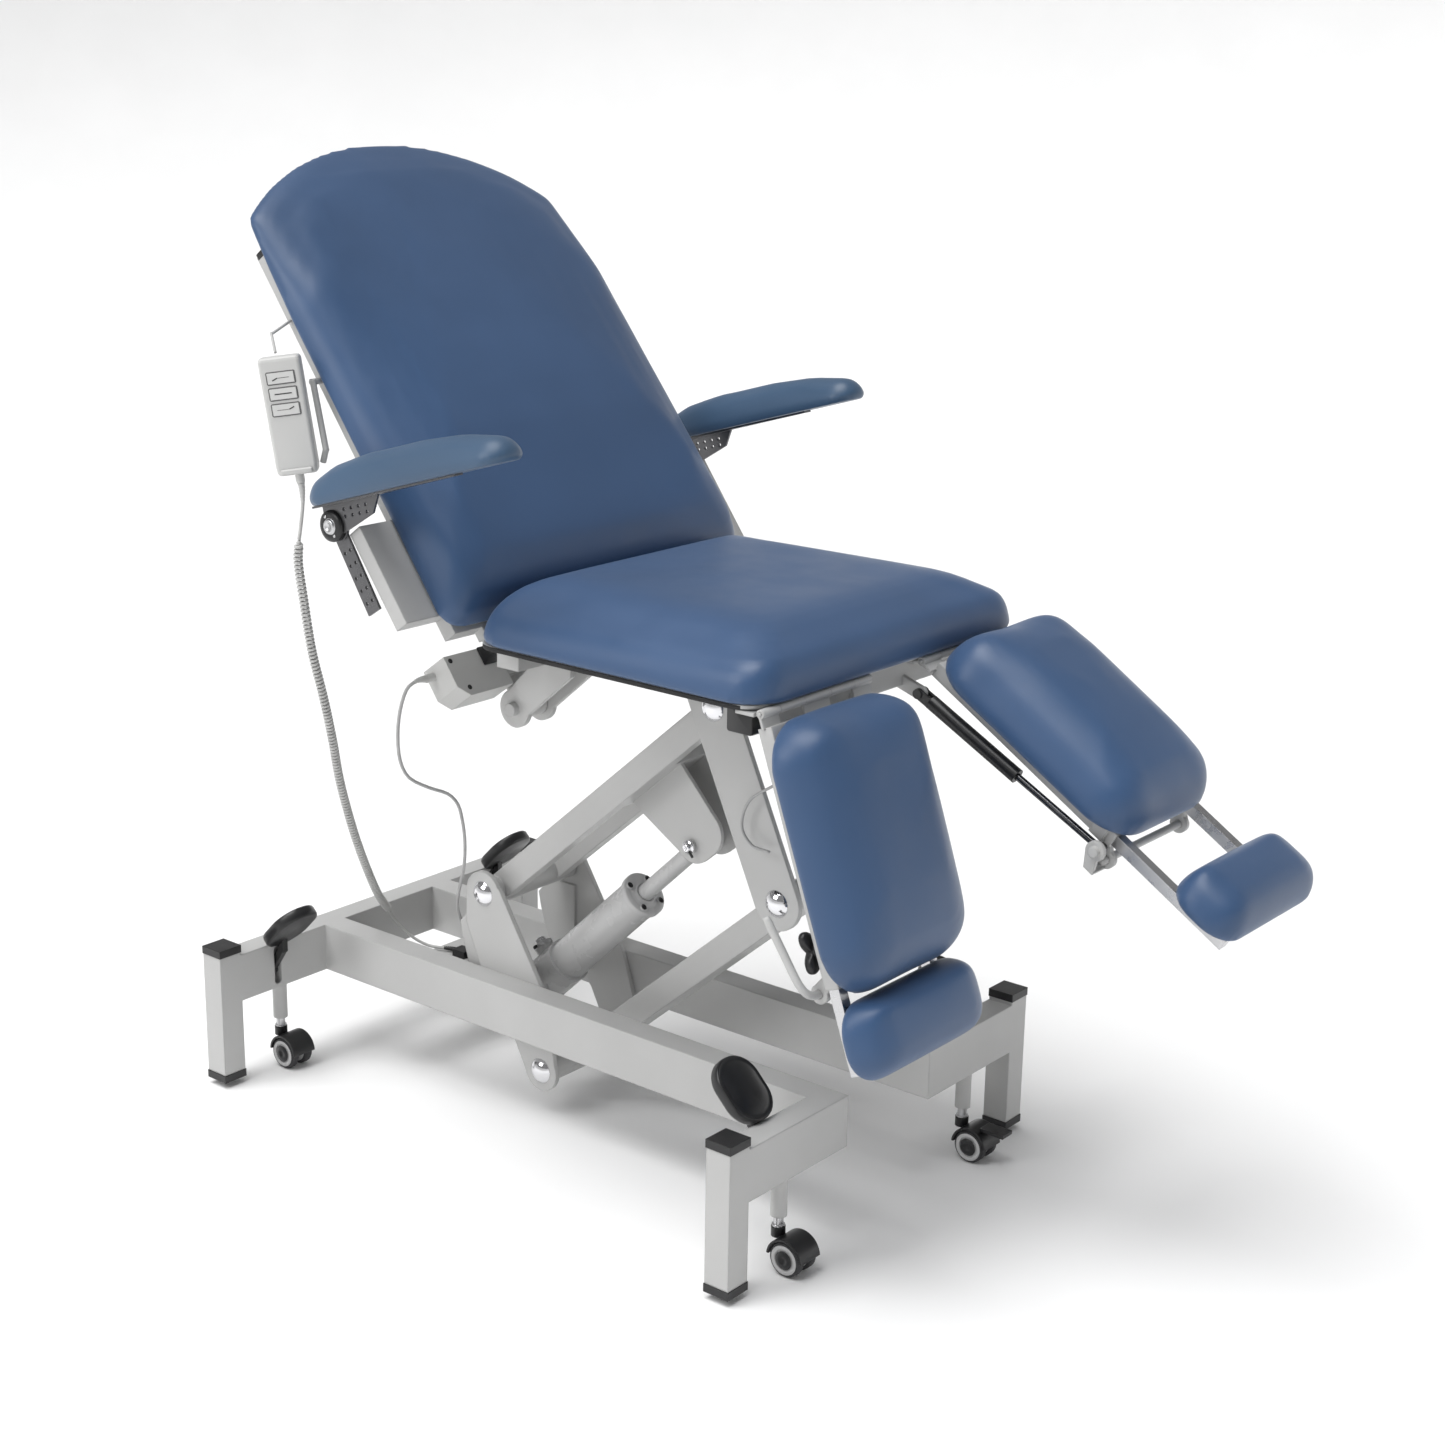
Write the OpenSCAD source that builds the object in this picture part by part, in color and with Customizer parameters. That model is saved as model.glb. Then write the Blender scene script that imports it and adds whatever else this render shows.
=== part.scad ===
// Medical treatment couch: electric lift on a parallelogram, sprung split legs,
// powered backrest, swing-up armrests, hand control on a curly cord.
// X runs to the foot end, Y across the couch, Z up. The model is drawn about the
// middle of the base with zero height at the post feet; place() sets it on the floor.

/* [Base] */
// Distance between post centres along the couch
post_span_x = 1010; // [960:10:1060]
// Distance between post centres across the couch
post_span_y = 667; // [650:1:690]
// Side of the square posts and outriggers
post_size = 40; // [36:1:42]
// Height of the posts with their plugs
post_top = 220; // [214:1:240]
// Underside of the beams
beam_low = 127; // [124:1:129]
// Top of the beams
beam_high = 203; // [200:1:206]
// Width of a long beam
beam_w = 42; // [38:1:44]
// Height of the post feet above the floor with the castors down
ground_gap = 10; // [9:1:11]
// Radius of a castor wheel
wheel_r = 25; // [24:0.5:25]
// Distance from castor stem to wheel axle
castor_trail = 26; // [26:1:28]

/* [Lift] */
// Length of the lift arms between pivots
arm_len = 574.2; // [570:0.2:580]
// Angle of the lift arms above horizontal
lift_angle = 40.9; // [40:0.1:42]
// Height of the lift arm tubes
arm_h = 40; // [36:1:42]
// Outer diameter of the lift actuator
actuator_d = 64; // [58:1:64]
// Diameter of the lift rod
lift_rod_d = 26; // [24:1:34]

/* [Seat and backrest] */
// Half the width of the seat and backrest pads
half_w = 308; // [300:1:308]
// Underside of the seat pad
seat_z = 787; // [787:1:788]
// Front edge of the seat pad
seat_front = 522; // [515:1:522]
// Angle of the backrest above horizontal
back_angle = 53.5; // [52:0.5:55]
// Length of the backrest pad along its slope
back_len = 786; // [770:1:790]
// Slope of the arm pads
arm_slope = 16.4; // [14:0.1:18]

/* [Legs] */
// Angle of the left leg below horizontal
leg_near_angle = 70; // [60:1:72]
// Angle of the right leg below horizontal
leg_far_angle = 32; // [20:1:40]
// Half the gap between the two leg pads
leg_in = 47; // [44:1:50]
// Length of a leg pad with its distance from the hinge
leg_end = 369; // [366:1:371]
// Extension of the left foot support
foot_near = 0; // [0:1:2]
// Extension of the right foot support
foot_far = 80; // [60:1:90]

/* [Hidden] */
$fn = 48;

light_grey = [0.72, 0.72, 0.71];
dark_grey = [0.3, 0.3, 0.31];
black = [0.04, 0.04, 0.04];
chrome = [0.85, 0.85, 0.87];
blue = [0.13, 0.24, 0.42];
cable_grey = [0.75, 0.75, 0.74];

base_x = -235;
px = post_span_x / 2;
py = post_span_y / 2;
half_post = post_size / 2;
beam_in = 98;
beam_out = beam_in + beam_w;
plug_h = 12;
run = 0.05;
gap = 0.5;

// Castors and pedals
castor_y = 222;
stem_d = 14;
sleeve_d = 23;
sleeve_low = 66;
boss_d = 20;
boss_low = 36;
boss_high = 50;
wheel_z = wheel_r - ground_gap;
wheel_w = 15;
wheel_in = 6;
axle_d = 8;
pedal_y = 240;
pedal_pin_d = 6;
pedal_pivot_in = 15;
pedal_pivot_z = 155;
slot_w = 14;
slot_low = 133;
slot_high = 197;

// Lift pivots
p1 = [-170.3, 322.3];
p2 = [-51.3, 64.6];
arm_vec = [arm_len * cos(lift_angle), arm_len * sin(lift_angle)];
p3 = p1 + arm_vec;
p4 = p2 + arm_vec;
pin_d = 20;
bush_d = 44;
plate_in = 90;
plate_t = 8;
link_in = 76;
rod_pin = p1 + turn2([362, -125], lift_angle);
act_low = [-125, 168];
act_vec = rod_pin - act_low;
act_angle = atan2(act_vec[1], act_vec[0]);
act_len = norm(act_vec);
act_tube_end = 270;
act_pin_d = 26;

// Seat and backrest
seat_back = 4;
board_t = 5;
back_origin = [0, 800];
back_hinge_local = [-7, -27.6];
back_up = 180 - back_angle;
back_t = [cos(back_up), sin(back_up)];
back_n = [sin(back_up), -cos(back_up)];
back_hinge = back_origin + back_hinge_local[0] * back_t + back_hinge_local[1] * back_n;
hinge_pin_d = 10;
side_tube_in = 262;
side_tube_out = 290;
lug_s = 375;
lug_off = -128;
act2_y = -120;
act2_low = [-50, 650];
act2_top = back_origin + lug_s * back_t + lug_off * back_n;
act2_vec = act2_top - act2_low;
act2_angle = atan2(act2_vec[1], act2_vec[0]);
act2_len = norm(act2_vec);
act2_pin_d = 12;

// Legs
leg_hinge = [508, 780];
leg_pin_d = 5;
barrel_d = 12;
rail_y = [84, 276];
tube_w = 22;
rail_w = 16;
spring_y = 61;
spring_top = [509, 736];
spring_s = 352;
spring_h = -15;
spring_d = 21;
spring_rod_d = 10;
handle_d = 11;
handle_s = 362;
handle_h = -31;
knob_s = 306;
knob_pin_d = 8;

// Armrests, drawn about the left pad's lower rear end
arm_origin = [-205, 956];
arm_hinge_local = [27, -31];
arm_hinge = arm_origin + turn2(arm_hinge_local, arm_slope);
arm_pad_len = 392;
arm_in = 335;
arm_out = 405;
wing_out = 367;

// Hand control
hand_at = [-284, -350, 1070];
hand_turn = 38.9;
hand_tilt = 8;
hand_w = 58;
hand_t = 25;
hand_h = 165;

// Cord routes
cord_d = 5;
coil_d = 14;
lead_route = [[-273.5, -341.5, 975], [-272.5, -341, 965], [-271, -342, 945], [-271, -346, 920], [-272, -350, 896]];
coil_route = [
  [-272, -350, 895], [-280, -346, 860], [-284, -335, 804], [-290, -318, 727], [-299, -290, 645],
  [-315, -262, 574], [-338, -230, 499], [-365, -185, 411], [-390, -140, 336], [-420, -85, 258],
  [-440, -42, 212],
];
tail_route = [
  [-441, -41, 211], [-446, -30, 196], [-442, -14, 174], [-428, 0, 154], [-410, 14, 142],
  [-392, 26, 139], [-377, 33, 139], [-364.5, 35, 139],
];
motor_d = 5;
motor_route = [
  [-106.3, -269.4, 708], [-106.5, -280, 709], [-107.5, -291, 707], [-112, -302, 697], [-118, -309, 668],
  [-125, -308, 630], [-130, -300, 590], [-128, -285, 561], [-120, -255, 541], [-112, -225, 526],
  [-112, -205, 505], [-124, -185, 474], [-145, -160, 437], [-170, -135, 398], [-195, -114, 360],
  [-218, -100, 322], [-240, -84, 280], [-256, -55, 232], [-276, -20, 186], [-298, 6, 158],
  [-318, 26, 143], [-337.4, 35, 139],
];

// Shared shapes
function turn2(p, a) = [p[0] * cos(a) - p[1] * sin(a), p[0] * sin(a) + p[1] * cos(a)];

module place() {
  translate([base_x, 0, ground_gap]) children();
}

module box(x0, x1, y0, y1, z0, z1) {
  translate([x0, y0, z0]) cube([x1 - x0, y1 - y0, z1 - z0]);
}

// Cylinder along Y between y0 and y1, centred on the point p = [x, z]
module rod_y(p, d, y0, y1) {
  translate([p[0], y1, p[1]]) rotate([90, 0, 0]) cylinder(d = d, h = y1 - y0);
}

// Plate between y0 and y1, outlined in X and Z
module plate(y0, y1) {
  translate([0, y1, 0]) rotate([90, 0, 0]) linear_extrude(y1 - y0) children();
}

// Straight round bar from a to b
module bar(a, b, d) {
  v = b - a;
  translate(a) rotate([0, acos(v[2] / norm(v)), atan2(v[1], v[0])]) cylinder(d = d, h = norm(v));
}

module both_sides() {
  children();
  mirror([0, 1, 0]) children();
}

// Local X along a member that rises at angle a from the point p
module along(p, a) {
  translate([p[0], 0, p[1]]) rotate([0, -a, 0]) children();
}

module round_rect(x0, x1, y0, y1, r) {
  translate([x0 + r, y0]) square([x1 - x0 - 2 * r, y1 - y0]);
  translate([x0, y0 + r]) square([x1 - x0, y1 - y0 - 2 * r]);
  for (x = [x0 + r, x1 - r], y = [y0 + r, y1 - r]) translate([x, y]) circle(r = r);
}

// Low dome on the end of a pin, pointing to -Y from the point p
module dome(p, y, d) {
  sphere_r = d * 0.62;
  sink = sqrt(sphere_r * sphere_r - d * d / 4);
  intersection() {
    translate([p[0], y + sink, p[1]]) sphere(r = sphere_r);
    rod_y(p, d, y - d / 2, y);
  }
}

// Swept tube
function unit(v) = v / norm(v);
function tangent(p, i) = unit(p[min(i + 1, len(p) - 1)] - p[max(i - 1, 0)]);
function side_of(t) = unit(cross(t, abs(t[1]) > 0.9 ? [1, 0, 0] : [0, 1, 0]));
function ring(c, t, r, n) =
  let (a = side_of(t), b = cross(t, a)) [for (k = [0 : n - 1]) c + r * (cos(360 * k / n) * a + sin(360 * k / n) * b)];

module tube(route, d, sides) {
  last = len(route) - 1;
  points = [for (i = [0 : last]) each ring(route[i], tangent(route, i), d / 2, sides)];
  walls = [
    for (i = [0 : last - 1], k = [0 : sides - 1])
      let (m = (k + 1) % sides) [i * sides + k, i * sides + m, (i + 1) * sides + m, (i + 1) * sides + k]
  ];
  first_cap = [for (k = [0 : sides - 1]) sides - 1 - k];
  last_cap = [for (k = [0 : sides - 1]) last * sides + k];
  polyhedron(points, concat([first_cap, last_cap], walls));
}

// Base
module castor_at(x_side, y_side) {
  translate([x_side * px, y_side * castor_y, 0]) children();
}

module pedal_slot(x_side) {
  face = px - half_post;
  mirror([x_side < 0 ? 1 : 0, 0, 0]) translate([face - 1, pedal_y, 0]) {
    box(0, 27, -slot_w / 2, slot_w / 2, slot_low + slot_w / 2, slot_high - slot_w / 2);
    for (z = [slot_low, slot_high - slot_w])
      translate([0, 0, z + slot_w / 2]) rotate([0, 90, 0]) cylinder(d = slot_w, h = 27);
  }
}

module sleeve_bore() {
  translate([0, 0, sleeve_low - 1]) cylinder(d = stem_d + 2 * run, h = beam_low - sleeve_low);
}

module base_half() {
  difference() {
    union() {
      for (x = [-px, px]) {
        box(x - half_post, x + half_post, py - half_post, py + half_post, plug_h, post_top - plug_h);
        box(x - half_post, x + half_post, beam_out - 1, py - half_post + 1, beam_low, beam_high);
        translate([x, castor_y, sleeve_low]) cylinder(d = sleeve_d, h = beam_low - sleeve_low + 1);
      }
      box(-px, px + half_post, beam_in, beam_out, beam_low, beam_high);
    }
    for (x = [-1, 1]) {
      pedal_slot(x);
      castor_at(x, 1) sleeve_bore();
    }
  }
  for (x = [-1, 1])
    rod_y([x * (px - half_post + pedal_pivot_in), pedal_pivot_z], pedal_pin_d, pedal_y - slot_w / 2 - 1,
      pedal_y + slot_w / 2 + 1);
}

module base_frame() {
  color(light_grey) place() {
    both_sides() base_half();
    box(-px - half_post, -px + half_post, -beam_out, beam_out, beam_low, beam_high);
    box(-408, -330, -beam_in - 1, beam_in + 1, beam_low, beam_low + 6);
  }
}

module bracket_outline() {
  difference() {
    union() {
      translate(p1) circle(r = 35);
      translate(p2) circle(r = 32);
      polygon([
        [-205, 318], [-207, 269], [-178, 205], [-118, 126], [-82, 56], [-20, 58], [-31, 137], [-52, 203], [-137, 338],
      ]);
    }
    translate(act_low) circle(d = act_pin_d);
  }
}

module base_brackets() {
  color(light_grey) place() {
    both_sides() {
      plate(plate_in, plate_in + plate_t) bracket_outline();
      plate(plate_in - 4, plate_in)
        polygon([[-203, 290], [-228, 262], [-224, 240], [-196, 150], [-150, 150], [-150, 290]]);
      rod_y(p1, pin_d, -1, plate_in + 1);
      rod_y(p2, pin_d, -1, plate_in + 1);
    }
    rod_y(act_low, act_pin_d, -plate_in - plate_t, plate_in + plate_t);
  }
}

// Plugs in both ends of the posts, and the socket where the cords meet
module base_plugs() {
  edge = half_post + 1;
  color(black) place() {
    both_sides() for (x = [-px, px], z = [0, post_top - plug_h])
      box(x - edge, x + edge, py - edge, py + edge, z, z + plug_h);
    box(-364, -338, 24, 46, beam_low + 6, beam_low + 18);
  }
}

module pivot_caps() {
  color(chrome) place() both_sides() for (p = [p1, p2]) dome(p, -plate_in - plate_t, 40);
}

module link_caps() {
  color(chrome) place() both_sides() for (p = [p3, p4]) dome(p, -link_in - plate_t, 40);
}

// Castors
module castor_stem() {
  translate([0, 0, boss_low + 4]) cylinder(d = stem_d, h = 62);
  translate([0, 0, boss_high + gap]) cylinder(d = stem_d + 4, h = 2.5);
}

module castor_hood(brake) {
  difference() {
    union() {
      translate([0, 0, boss_low]) cylinder(d = boss_d, h = boss_high - boss_low);
      difference() {
        intersection() {
          rod_y([castor_trail, wheel_z], 2 * wheel_r + 9, -21, 21);
          box(-6, castor_trail + 40, -21, 21, wheel_z + 2, boss_high);
        }
        rod_y([castor_trail, wheel_z], 2 * wheel_r + 2, -22, 22);
      }
      rod_y([castor_trail, wheel_z], 16, -4, 4);
      box(castor_trail - 7, castor_trail + 7, -4, 4, wheel_z, wheel_z + wheel_r + 2);
      if (brake) box(castor_trail + 14, castor_trail + 54, -13, 13, wheel_z + wheel_r + 1.5, wheel_z + wheel_r + 7);
    }
    translate([0, 0, boss_low + 4 - gap]) cylinder(d = stem_d + 2 * run, h = 30);
    rod_y([castor_trail, wheel_z], axle_d + 2 * run, -10, 10);
  }
}

module castor_wheels() {
  c = [castor_trail, wheel_z];
  rod_y(c, axle_d, -wheel_in - 1, wheel_in + 1);
  both_sides() {
    rod_y(c, 2 * wheel_r - 4, wheel_in, wheel_in + wheel_w);
    rod_y(c, 2 * wheel_r, wheel_in + 1.5, wheel_in + wheel_w - 1.5);
    rod_y(c, 28, wheel_in + wheel_w, wheel_in + wheel_w + 1.5);
  }
}

module castor_stem_at(x, y) {
  color(chrome) place() castor_at(x, y) castor_stem();
}
module castor_hood_at(x, y, brake) {
  color(black) place() castor_at(x, y) castor_hood(brake);
}
module castor_wheels_at(x, y) {
  color(dark_grey) place() castor_at(x, y) castor_wheels();
}

// Pedal for the foot end on the +Y side; the pad slopes up away from the outrigger
module pedal() {
  pivot = [px - half_post + pedal_pivot_in, pedal_pivot_z];
  lever = 52;
  difference() {
    union() {
      rod_y(pivot, 18, pedal_y - 5, pedal_y + 5);
      along(pivot, 125) box(0, lever, pedal_y - 5, pedal_y + 5, -6, 6);
      along(pivot + turn2([lever - 3, 0], 125), 90) box(-4, 22, pedal_y - 5, pedal_y + 5, -6, 6);
    }
    rod_y(pivot, pedal_pin_d + 2 * run, pedal_y - 10, pedal_y + 10);
  }
  translate([pivot[0] - 49, pedal_y, 237]) rotate([0, 45, 0]) translate([0, 0, -5])
    linear_extrude(13) round_rect(-47, 47, -37, 37, 34);
}

module pedal_at(x, y) {
  color(black) place() mirror([x < 0 ? 1 : 0, 0, 0]) mirror([0, y < 0 ? 1 : 0, 0]) pedal();
}

// Lift
module arm_bush(u, half) {
  rod_y([u, 0], bush_d, -half, half);
}

module gusset() {
  corner = 35;
  plate(24, 30) union() {
    polygon([[302, -15], [336, -120], [428, -120], [423, -10]]);
    for (u = [371, 393]) translate([u, -120]) circle(r = corner);
    translate([371, -120 - corner]) square([22, corner + 2]);
  }
}

module upper_arm() {
  color(light_grey) place() along(p1, lift_angle) {
    difference() {
      union() {
        both_sides() {
          box(0, arm_len, 45, 70, -arm_h / 2, arm_h / 2);
          gusset();
          rod_y([362, -125], 19, -37, -30);
          rod_y([362, -125], 10, -42, -37);
        }
        arm_bush(0, plate_in - gap);
        arm_bush(arm_len, link_in - gap);
        box(296, 428, -46, 46, -arm_h / 2, arm_h / 2);
      }
      rod_y([0, 0], pin_d + 2 * run, -100, 100);
      rod_y([arm_len, 0], pin_d + 2 * run, -100, 100);
    }
  }
}

module lower_arm() {
  color(light_grey) place() along(p2, lift_angle) difference() {
    union() {
      box(0, arm_len, -30, 30, -arm_h / 2, arm_h / 2);
      arm_bush(0, plate_in - gap);
      arm_bush(arm_len, link_in - gap);
    }
    rod_y([0, 0], pin_d + 2 * run, -100, 100);
    rod_y([arm_len, 0], pin_d + 4, -100, 100);
  }
}

module flange_screws(u, r, count) {
  for (k = [0 : count - 1])
    rotate([45 + 360 * k / count, 0, 0]) translate([u, 0, r]) rotate([0, 90, 0]) cylinder(d = 7, h = 3);
}

module lift_actuator() {
  color(light_grey) place() along(act_low, act_angle) {
    difference() {
      union() {
        rotate([0, 90, 0]) cylinder(d = actuator_d, h = act_tube_end - 8);
        translate([act_tube_end - 9, 0, 0]) rotate([0, 90, 0]) cylinder(d = actuator_d + 6, h = 9);
        translate([-24, 0, 0]) rotate([0, 90, 0]) cylinder(d = actuator_d + 8, h = 84);
        rod_y([0, 0], 56, -34, 34);
        translate([26, 0, 26]) cylinder(d = 30, h = 18);
      }
      rod_y([0, 0], act_pin_d + 2 * run, -60, 60);
      translate([40, 0, 0]) rotate([0, 90, 0]) cylinder(d = lift_rod_d + 2 * run, h = act_tube_end);
    }
    flange_screws(act_tube_end - 1, actuator_d / 2 - 5, 4);
  }
}

module lift_rod() {
  color(light_grey) place() along(act_low, act_angle) difference() {
    union() {
      translate([170, 0, 0]) rotate([0, 90, 0]) cylinder(d = lift_rod_d, h = act_len - 170);
      rod_y([act_len, 0], 34, -21, 21);
    }
    rod_y([act_len, 0], 13, -30, 30);
  }
}

// Seat
module link_plate() {
  slope = atan2(p4[1] - p3[1], p4[0] - p3[0]);
  span = norm(p4 - p3);
  along(p3, slope) {
    box(-68, span, link_in, link_in + plate_t, -39, 39);
    rod_y([span, 0], 78, link_in, link_in + plate_t);
  }
  for (p = [p3, p4]) rod_y(p, pin_d, -1, link_in + 1);
}

module seat_knuckles() {
  for (y = [[100, 150], [205, 255]]) {
    rod_y(leg_hinge, barrel_d, y[0], y[1]);
    box(499, leg_hinge[0], y[0], y[1], 776, 780);
  }
  rod_y(leg_hinge, leg_pin_d, 58, 292);
}

module seat_frame_half() {
  box(50, 441, 60, 90, 742, 782);
  link_plate();
  box(470, 499.5, 55, 292, 775, 780);
  seat_knuckles();
  box(-22, 12, 200, 208, 768, 782);
  rod_y(back_hinge, 24, 200, 208);
  rod_y(back_hinge, hinge_pin_d, 200, 240);
  // Spring anchor under the front tube
  plate(spring_y - 3, spring_y + 3) union() {
    translate(spring_top) circle(d = 20);
    polygon([[452, 744], [479, 756], [512, 745.5], [506, 726.5]]);
  }
}

module act2_plate(y0, y1) {
  plate(y0, y1) difference() {
    union() {
      translate(act2_low) circle(r = 28);
      polygon([[-76, 660], [-46, 692], [8, 744], [60, 744], [60, 716], [-22, 646], [-50, 640]]);
    }
    translate(act2_low) circle(d = act2_pin_d - 1);
  }
}

module seat_frame() {
  color(light_grey) place() {
    both_sides() seat_frame_half();
    box(440, 480, -268, 268, 742, 782);
    box(10, 51, -245, 245, 742, 782);
    act2_plate(-150, -142);
    act2_plate(-98, -90);
    rod_y(act2_low, act2_pin_d, -156, -84);
    rod_y(act2_low, 20, -160, -150);
    translate([0, 0, seat_z - board_t]) linear_extrude(board_t)
      round_rect(seat_back + 8, seat_front - 21, -half_w + 12, half_w - 12, 36);
  }
}

module seat_pad() {
  color(blue) place() intersection() {
    translate([0, 0, seat_z]) linear_extrude(100) round_rect(seat_back, seat_front, -half_w, half_w, 45);
    plate(-half_w, half_w) polygon([
      [seat_back, seat_z], [seat_back, 797], [33, 866], [120, 870], [330, 868], [420, 858], [475, 842],
      [508, 822], [seat_front, 800], [seat_front, seat_z],
    ]);
    translate([seat_back, 0, 0]) rotate([90, 0, 90]) linear_extrude(seat_front) polygon([
      [-half_w, seat_z], [-half_w, 838], [-285, 858], [-240, 868], [0, 880], [240, 868], [285, 858],
      [half_w, 838], [half_w, seat_z],
    ]);
  }
}

// Backrest: local X up the slope, local Z towards the sitter
module on_backrest() {
  translate([back_origin[0], 0, back_origin[1]]) rotate([0, -back_up, 0]) mirror([0, 0, 1]) children();
}

module back_outline(shrink) {
  r = 450 - shrink;
  centre = back_len - 450;
  corner = 40 - shrink;
  cy = half_w - 40;
  cs = centre + sqrt(pow(450 - 40, 2) - cy * cy);
  reach = 600;
  far = reach * [cs - centre, cy] / norm([cs - centre, cy]);
  translate([5 + shrink, -half_w + 50]) square([cs - 5 - shrink, 2 * (half_w - 50)]);
  translate([55, -half_w + shrink]) square([cs - 55, 2 * (half_w - shrink)]);
  for (y = [-1, 1]) {
    translate([55, y * (half_w - 50)]) circle(r = 50 - shrink);
    translate([cs, y * cy]) circle(r = corner);
  }
  intersection() {
    translate([centre, 0]) circle(r = r);
    polygon([[centre, 0], [centre + far[0], far[1]], [centre + far[0], -far[1]]]);
  }
}

module backrest_frame() {
  front = -20 - board_t;
  back = front - 25;
  color(light_grey) place() {
    on_backrest() {
      translate([0, 0, front]) linear_extrude(board_t) back_outline(12);
      both_sides() {
        difference() {
          box(8, 624, side_tube_in, side_tube_out, back, front);
          rod_y(back_hinge_local, 30, 190, 209);
        }
        difference() {
          union() {
            rod_y(back_hinge_local, 20, 209, 238);
            box(back_hinge_local[0], 12, 209, 238, back + 6, front);
          }
          rod_y(back_hinge_local, hinge_pin_d + 2 * run, 190, 250);
        }
        box(37, 187, side_tube_out - 1, wing_out, -45, -21);
      }
      for (s = [[8, 33], [355, 395], [560, 585]])
        box(s[0], s[1], -side_tube_in - 1, side_tube_in + 1, back, front);
      for (y = [-142, -106])
        translate([0, y, 0]) difference() {
          plate(0, 8) union() {
            translate([lug_s, lug_off]) circle(r = 16);
            polygon([[lug_s - 16, lug_off], [357, back + 1], [393, back + 1], [lug_s + 16, lug_off]]);
          }
          rod_y([lug_s, lug_off], 8, -1, 9);
        }
    }
    // Hook rod behind the hand control, and the wire that it hangs from
    bar([-272, -288, 1114], [-272, -319, 1114], 9);
    bar([-272, -316, 1117], [-248, -316, 1020], 9);
    bar([-248, -316, 1024], [-255, -316, 1004], 9);
    bar([-345, -286, 1191], [-318, -348, 1178], 4);
    bar([-319, -347, 1180], [-301, -356, 1155], 4);
  }
}

module backrest_pad() {
  color(blue) place() on_backrest() intersection() {
    translate([0, 0, -20]) linear_extrude(90) back_outline(0);
    plate(-half_w, half_w) polygon([
      [5, -20], [5, -5], [60, 44], [280, 44], [390, 31], [510, 20], [630, 12], [720, 5], [770, -4],
      [back_len, -10], [back_len, -20],
    ]);
    rotate([90, 0, 90]) linear_extrude(back_len) polygon([
      [-half_w, -20], [-half_w, 20], [-285, 36], [-240, 44], [240, 44], [285, 36], [half_w, 20], [half_w, -20],
    ]);
  }
}

module back_actuator() {
  color(light_grey) place() along(act2_low, act2_angle) difference() {
    union() {
      rod_y([0, 0], 36, act2_y - 20, act2_y + 20);
      translate([0, act2_y, 0]) rotate([0, 90, 0]) cylinder(d = 38, h = 250);
      box(46, 92, -156, act2_y, -20, 20);
      difference() {
        box(30, 94, -255, -153, -25, 25);
        translate([30, -255, 25]) rotate([0, 0, 45]) cube([24, 24, 130], center = true);
      }
      translate([80, -254, 11]) rotate([90, 0, 0]) cylinder(d = 12, h = 15);
    }
    rod_y([0, 0], act2_pin_d + 2 * run, -170, -60);
    translate([60, act2_y, 0]) rotate([0, 90, 0]) cylinder(d = 20 + 2 * run, h = 300);
  }
}

module back_rod() {
  color(chrome) place() along(act2_low, act2_angle) difference() {
    union() {
      translate([200, act2_y, 0]) rotate([0, 90, 0]) cylinder(d = 20, h = act2_len - 200);
      rod_y([act2_len, 0], 24, act2_y - 12, act2_y + 12);
    }
    rod_y([act2_len, 0], 12, -150, -90);
  }
}

// Legs: drawn on the +Y side in the leg's own axes, local X from hinge to foot, local Z off the front
module on_leg(side) {
  angle = side < 0 ? leg_near_angle : leg_far_angle;
  mirror([0, side < 0 ? 1 : 0, 0]) along(leg_hinge, -angle) children();
}

module leg_frame(side) {
  low = 10 - tube_w;
  color(light_grey) place() on_leg(side) difference() {
    union() {
      for (y = rail_y) box(18, 356, y - tube_w / 2, y + tube_w / 2, low, 10);
      box(18, 40, rail_y[0], rail_y[1], low, 10);
      box(322, 344, rail_y[0] - 16, rail_y[1], low, 10);
      for (y = [[60, 99.5], [150.5, 204.5], [255.5, 290]]) {
        rod_y([0, 0], barrel_d, y[0], y[1]);
        box(0, 20, y[0], y[1], -4, 0);
      }
      // Lugs that carry the release handle, the inner one cupped round the spring's end
      for (y = [76, 270]) plate(y, y + 8) union() {
        translate([handle_s, handle_h]) circle(r = 13);
        polygon([[336, low + 1], [356, low + 1], [374, handle_h], [352, handle_h - 8]]);
      }
      plate(46, 52) union() {
        translate([spring_s, spring_h]) circle(r = 14);
        polygon([[340, spring_h - 7], [362, spring_h - 10], [368, -44], [352, -44]]);
      }
      rod_y([spring_s, spring_h], 15, 40, 47);
      box(352, 368, 46, 84, -44, -40);
    }
    rod_y([0, 0], leg_pin_d + 2 * run, 50, 300);
    for (y = rail_y) box(60, 400, y - rail_w / 2 - 0.3, y + rail_w / 2 + 0.3, -9.3, 7.3);
    rod_y([handle_s, handle_h], handle_d + 2 * run, 60, 290);
    translate([knob_s, rail_y[1], -18]) cylinder(d = knob_pin_d + 2 * run, h = 8.8);
  }
}

module leg_pad(side) {
  color(blue) place() on_leg(side) intersection() {
    translate([0, 0, 10]) linear_extrude(90) round_rect(18, leg_end, leg_in, half_w, 45);
    plate(leg_in, half_w) polygon([
      [18, 10], [18, 42], [38, 64], [100, 84], [172, 90], [250, 84], [320, 70], [355, 54], [leg_end, 34], [leg_end, 10],
    ]);
    rotate([90, 0, 90]) linear_extrude(leg_end) polygon([
      [leg_in, 10], [leg_in, 60], [leg_in + 20, 80], [leg_in + 60, 90], [half_w - 60, 90], [half_w - 20, 80],
      [half_w, 60], [half_w, 10],
    ]);
  }
}

function leg_point(side, s, h) =
  leg_hinge + turn2([s, h], side < 0 ? -leg_near_angle : -leg_far_angle);
function spring_vec(side) = leg_point(side, spring_s, spring_h) - spring_top;

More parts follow.
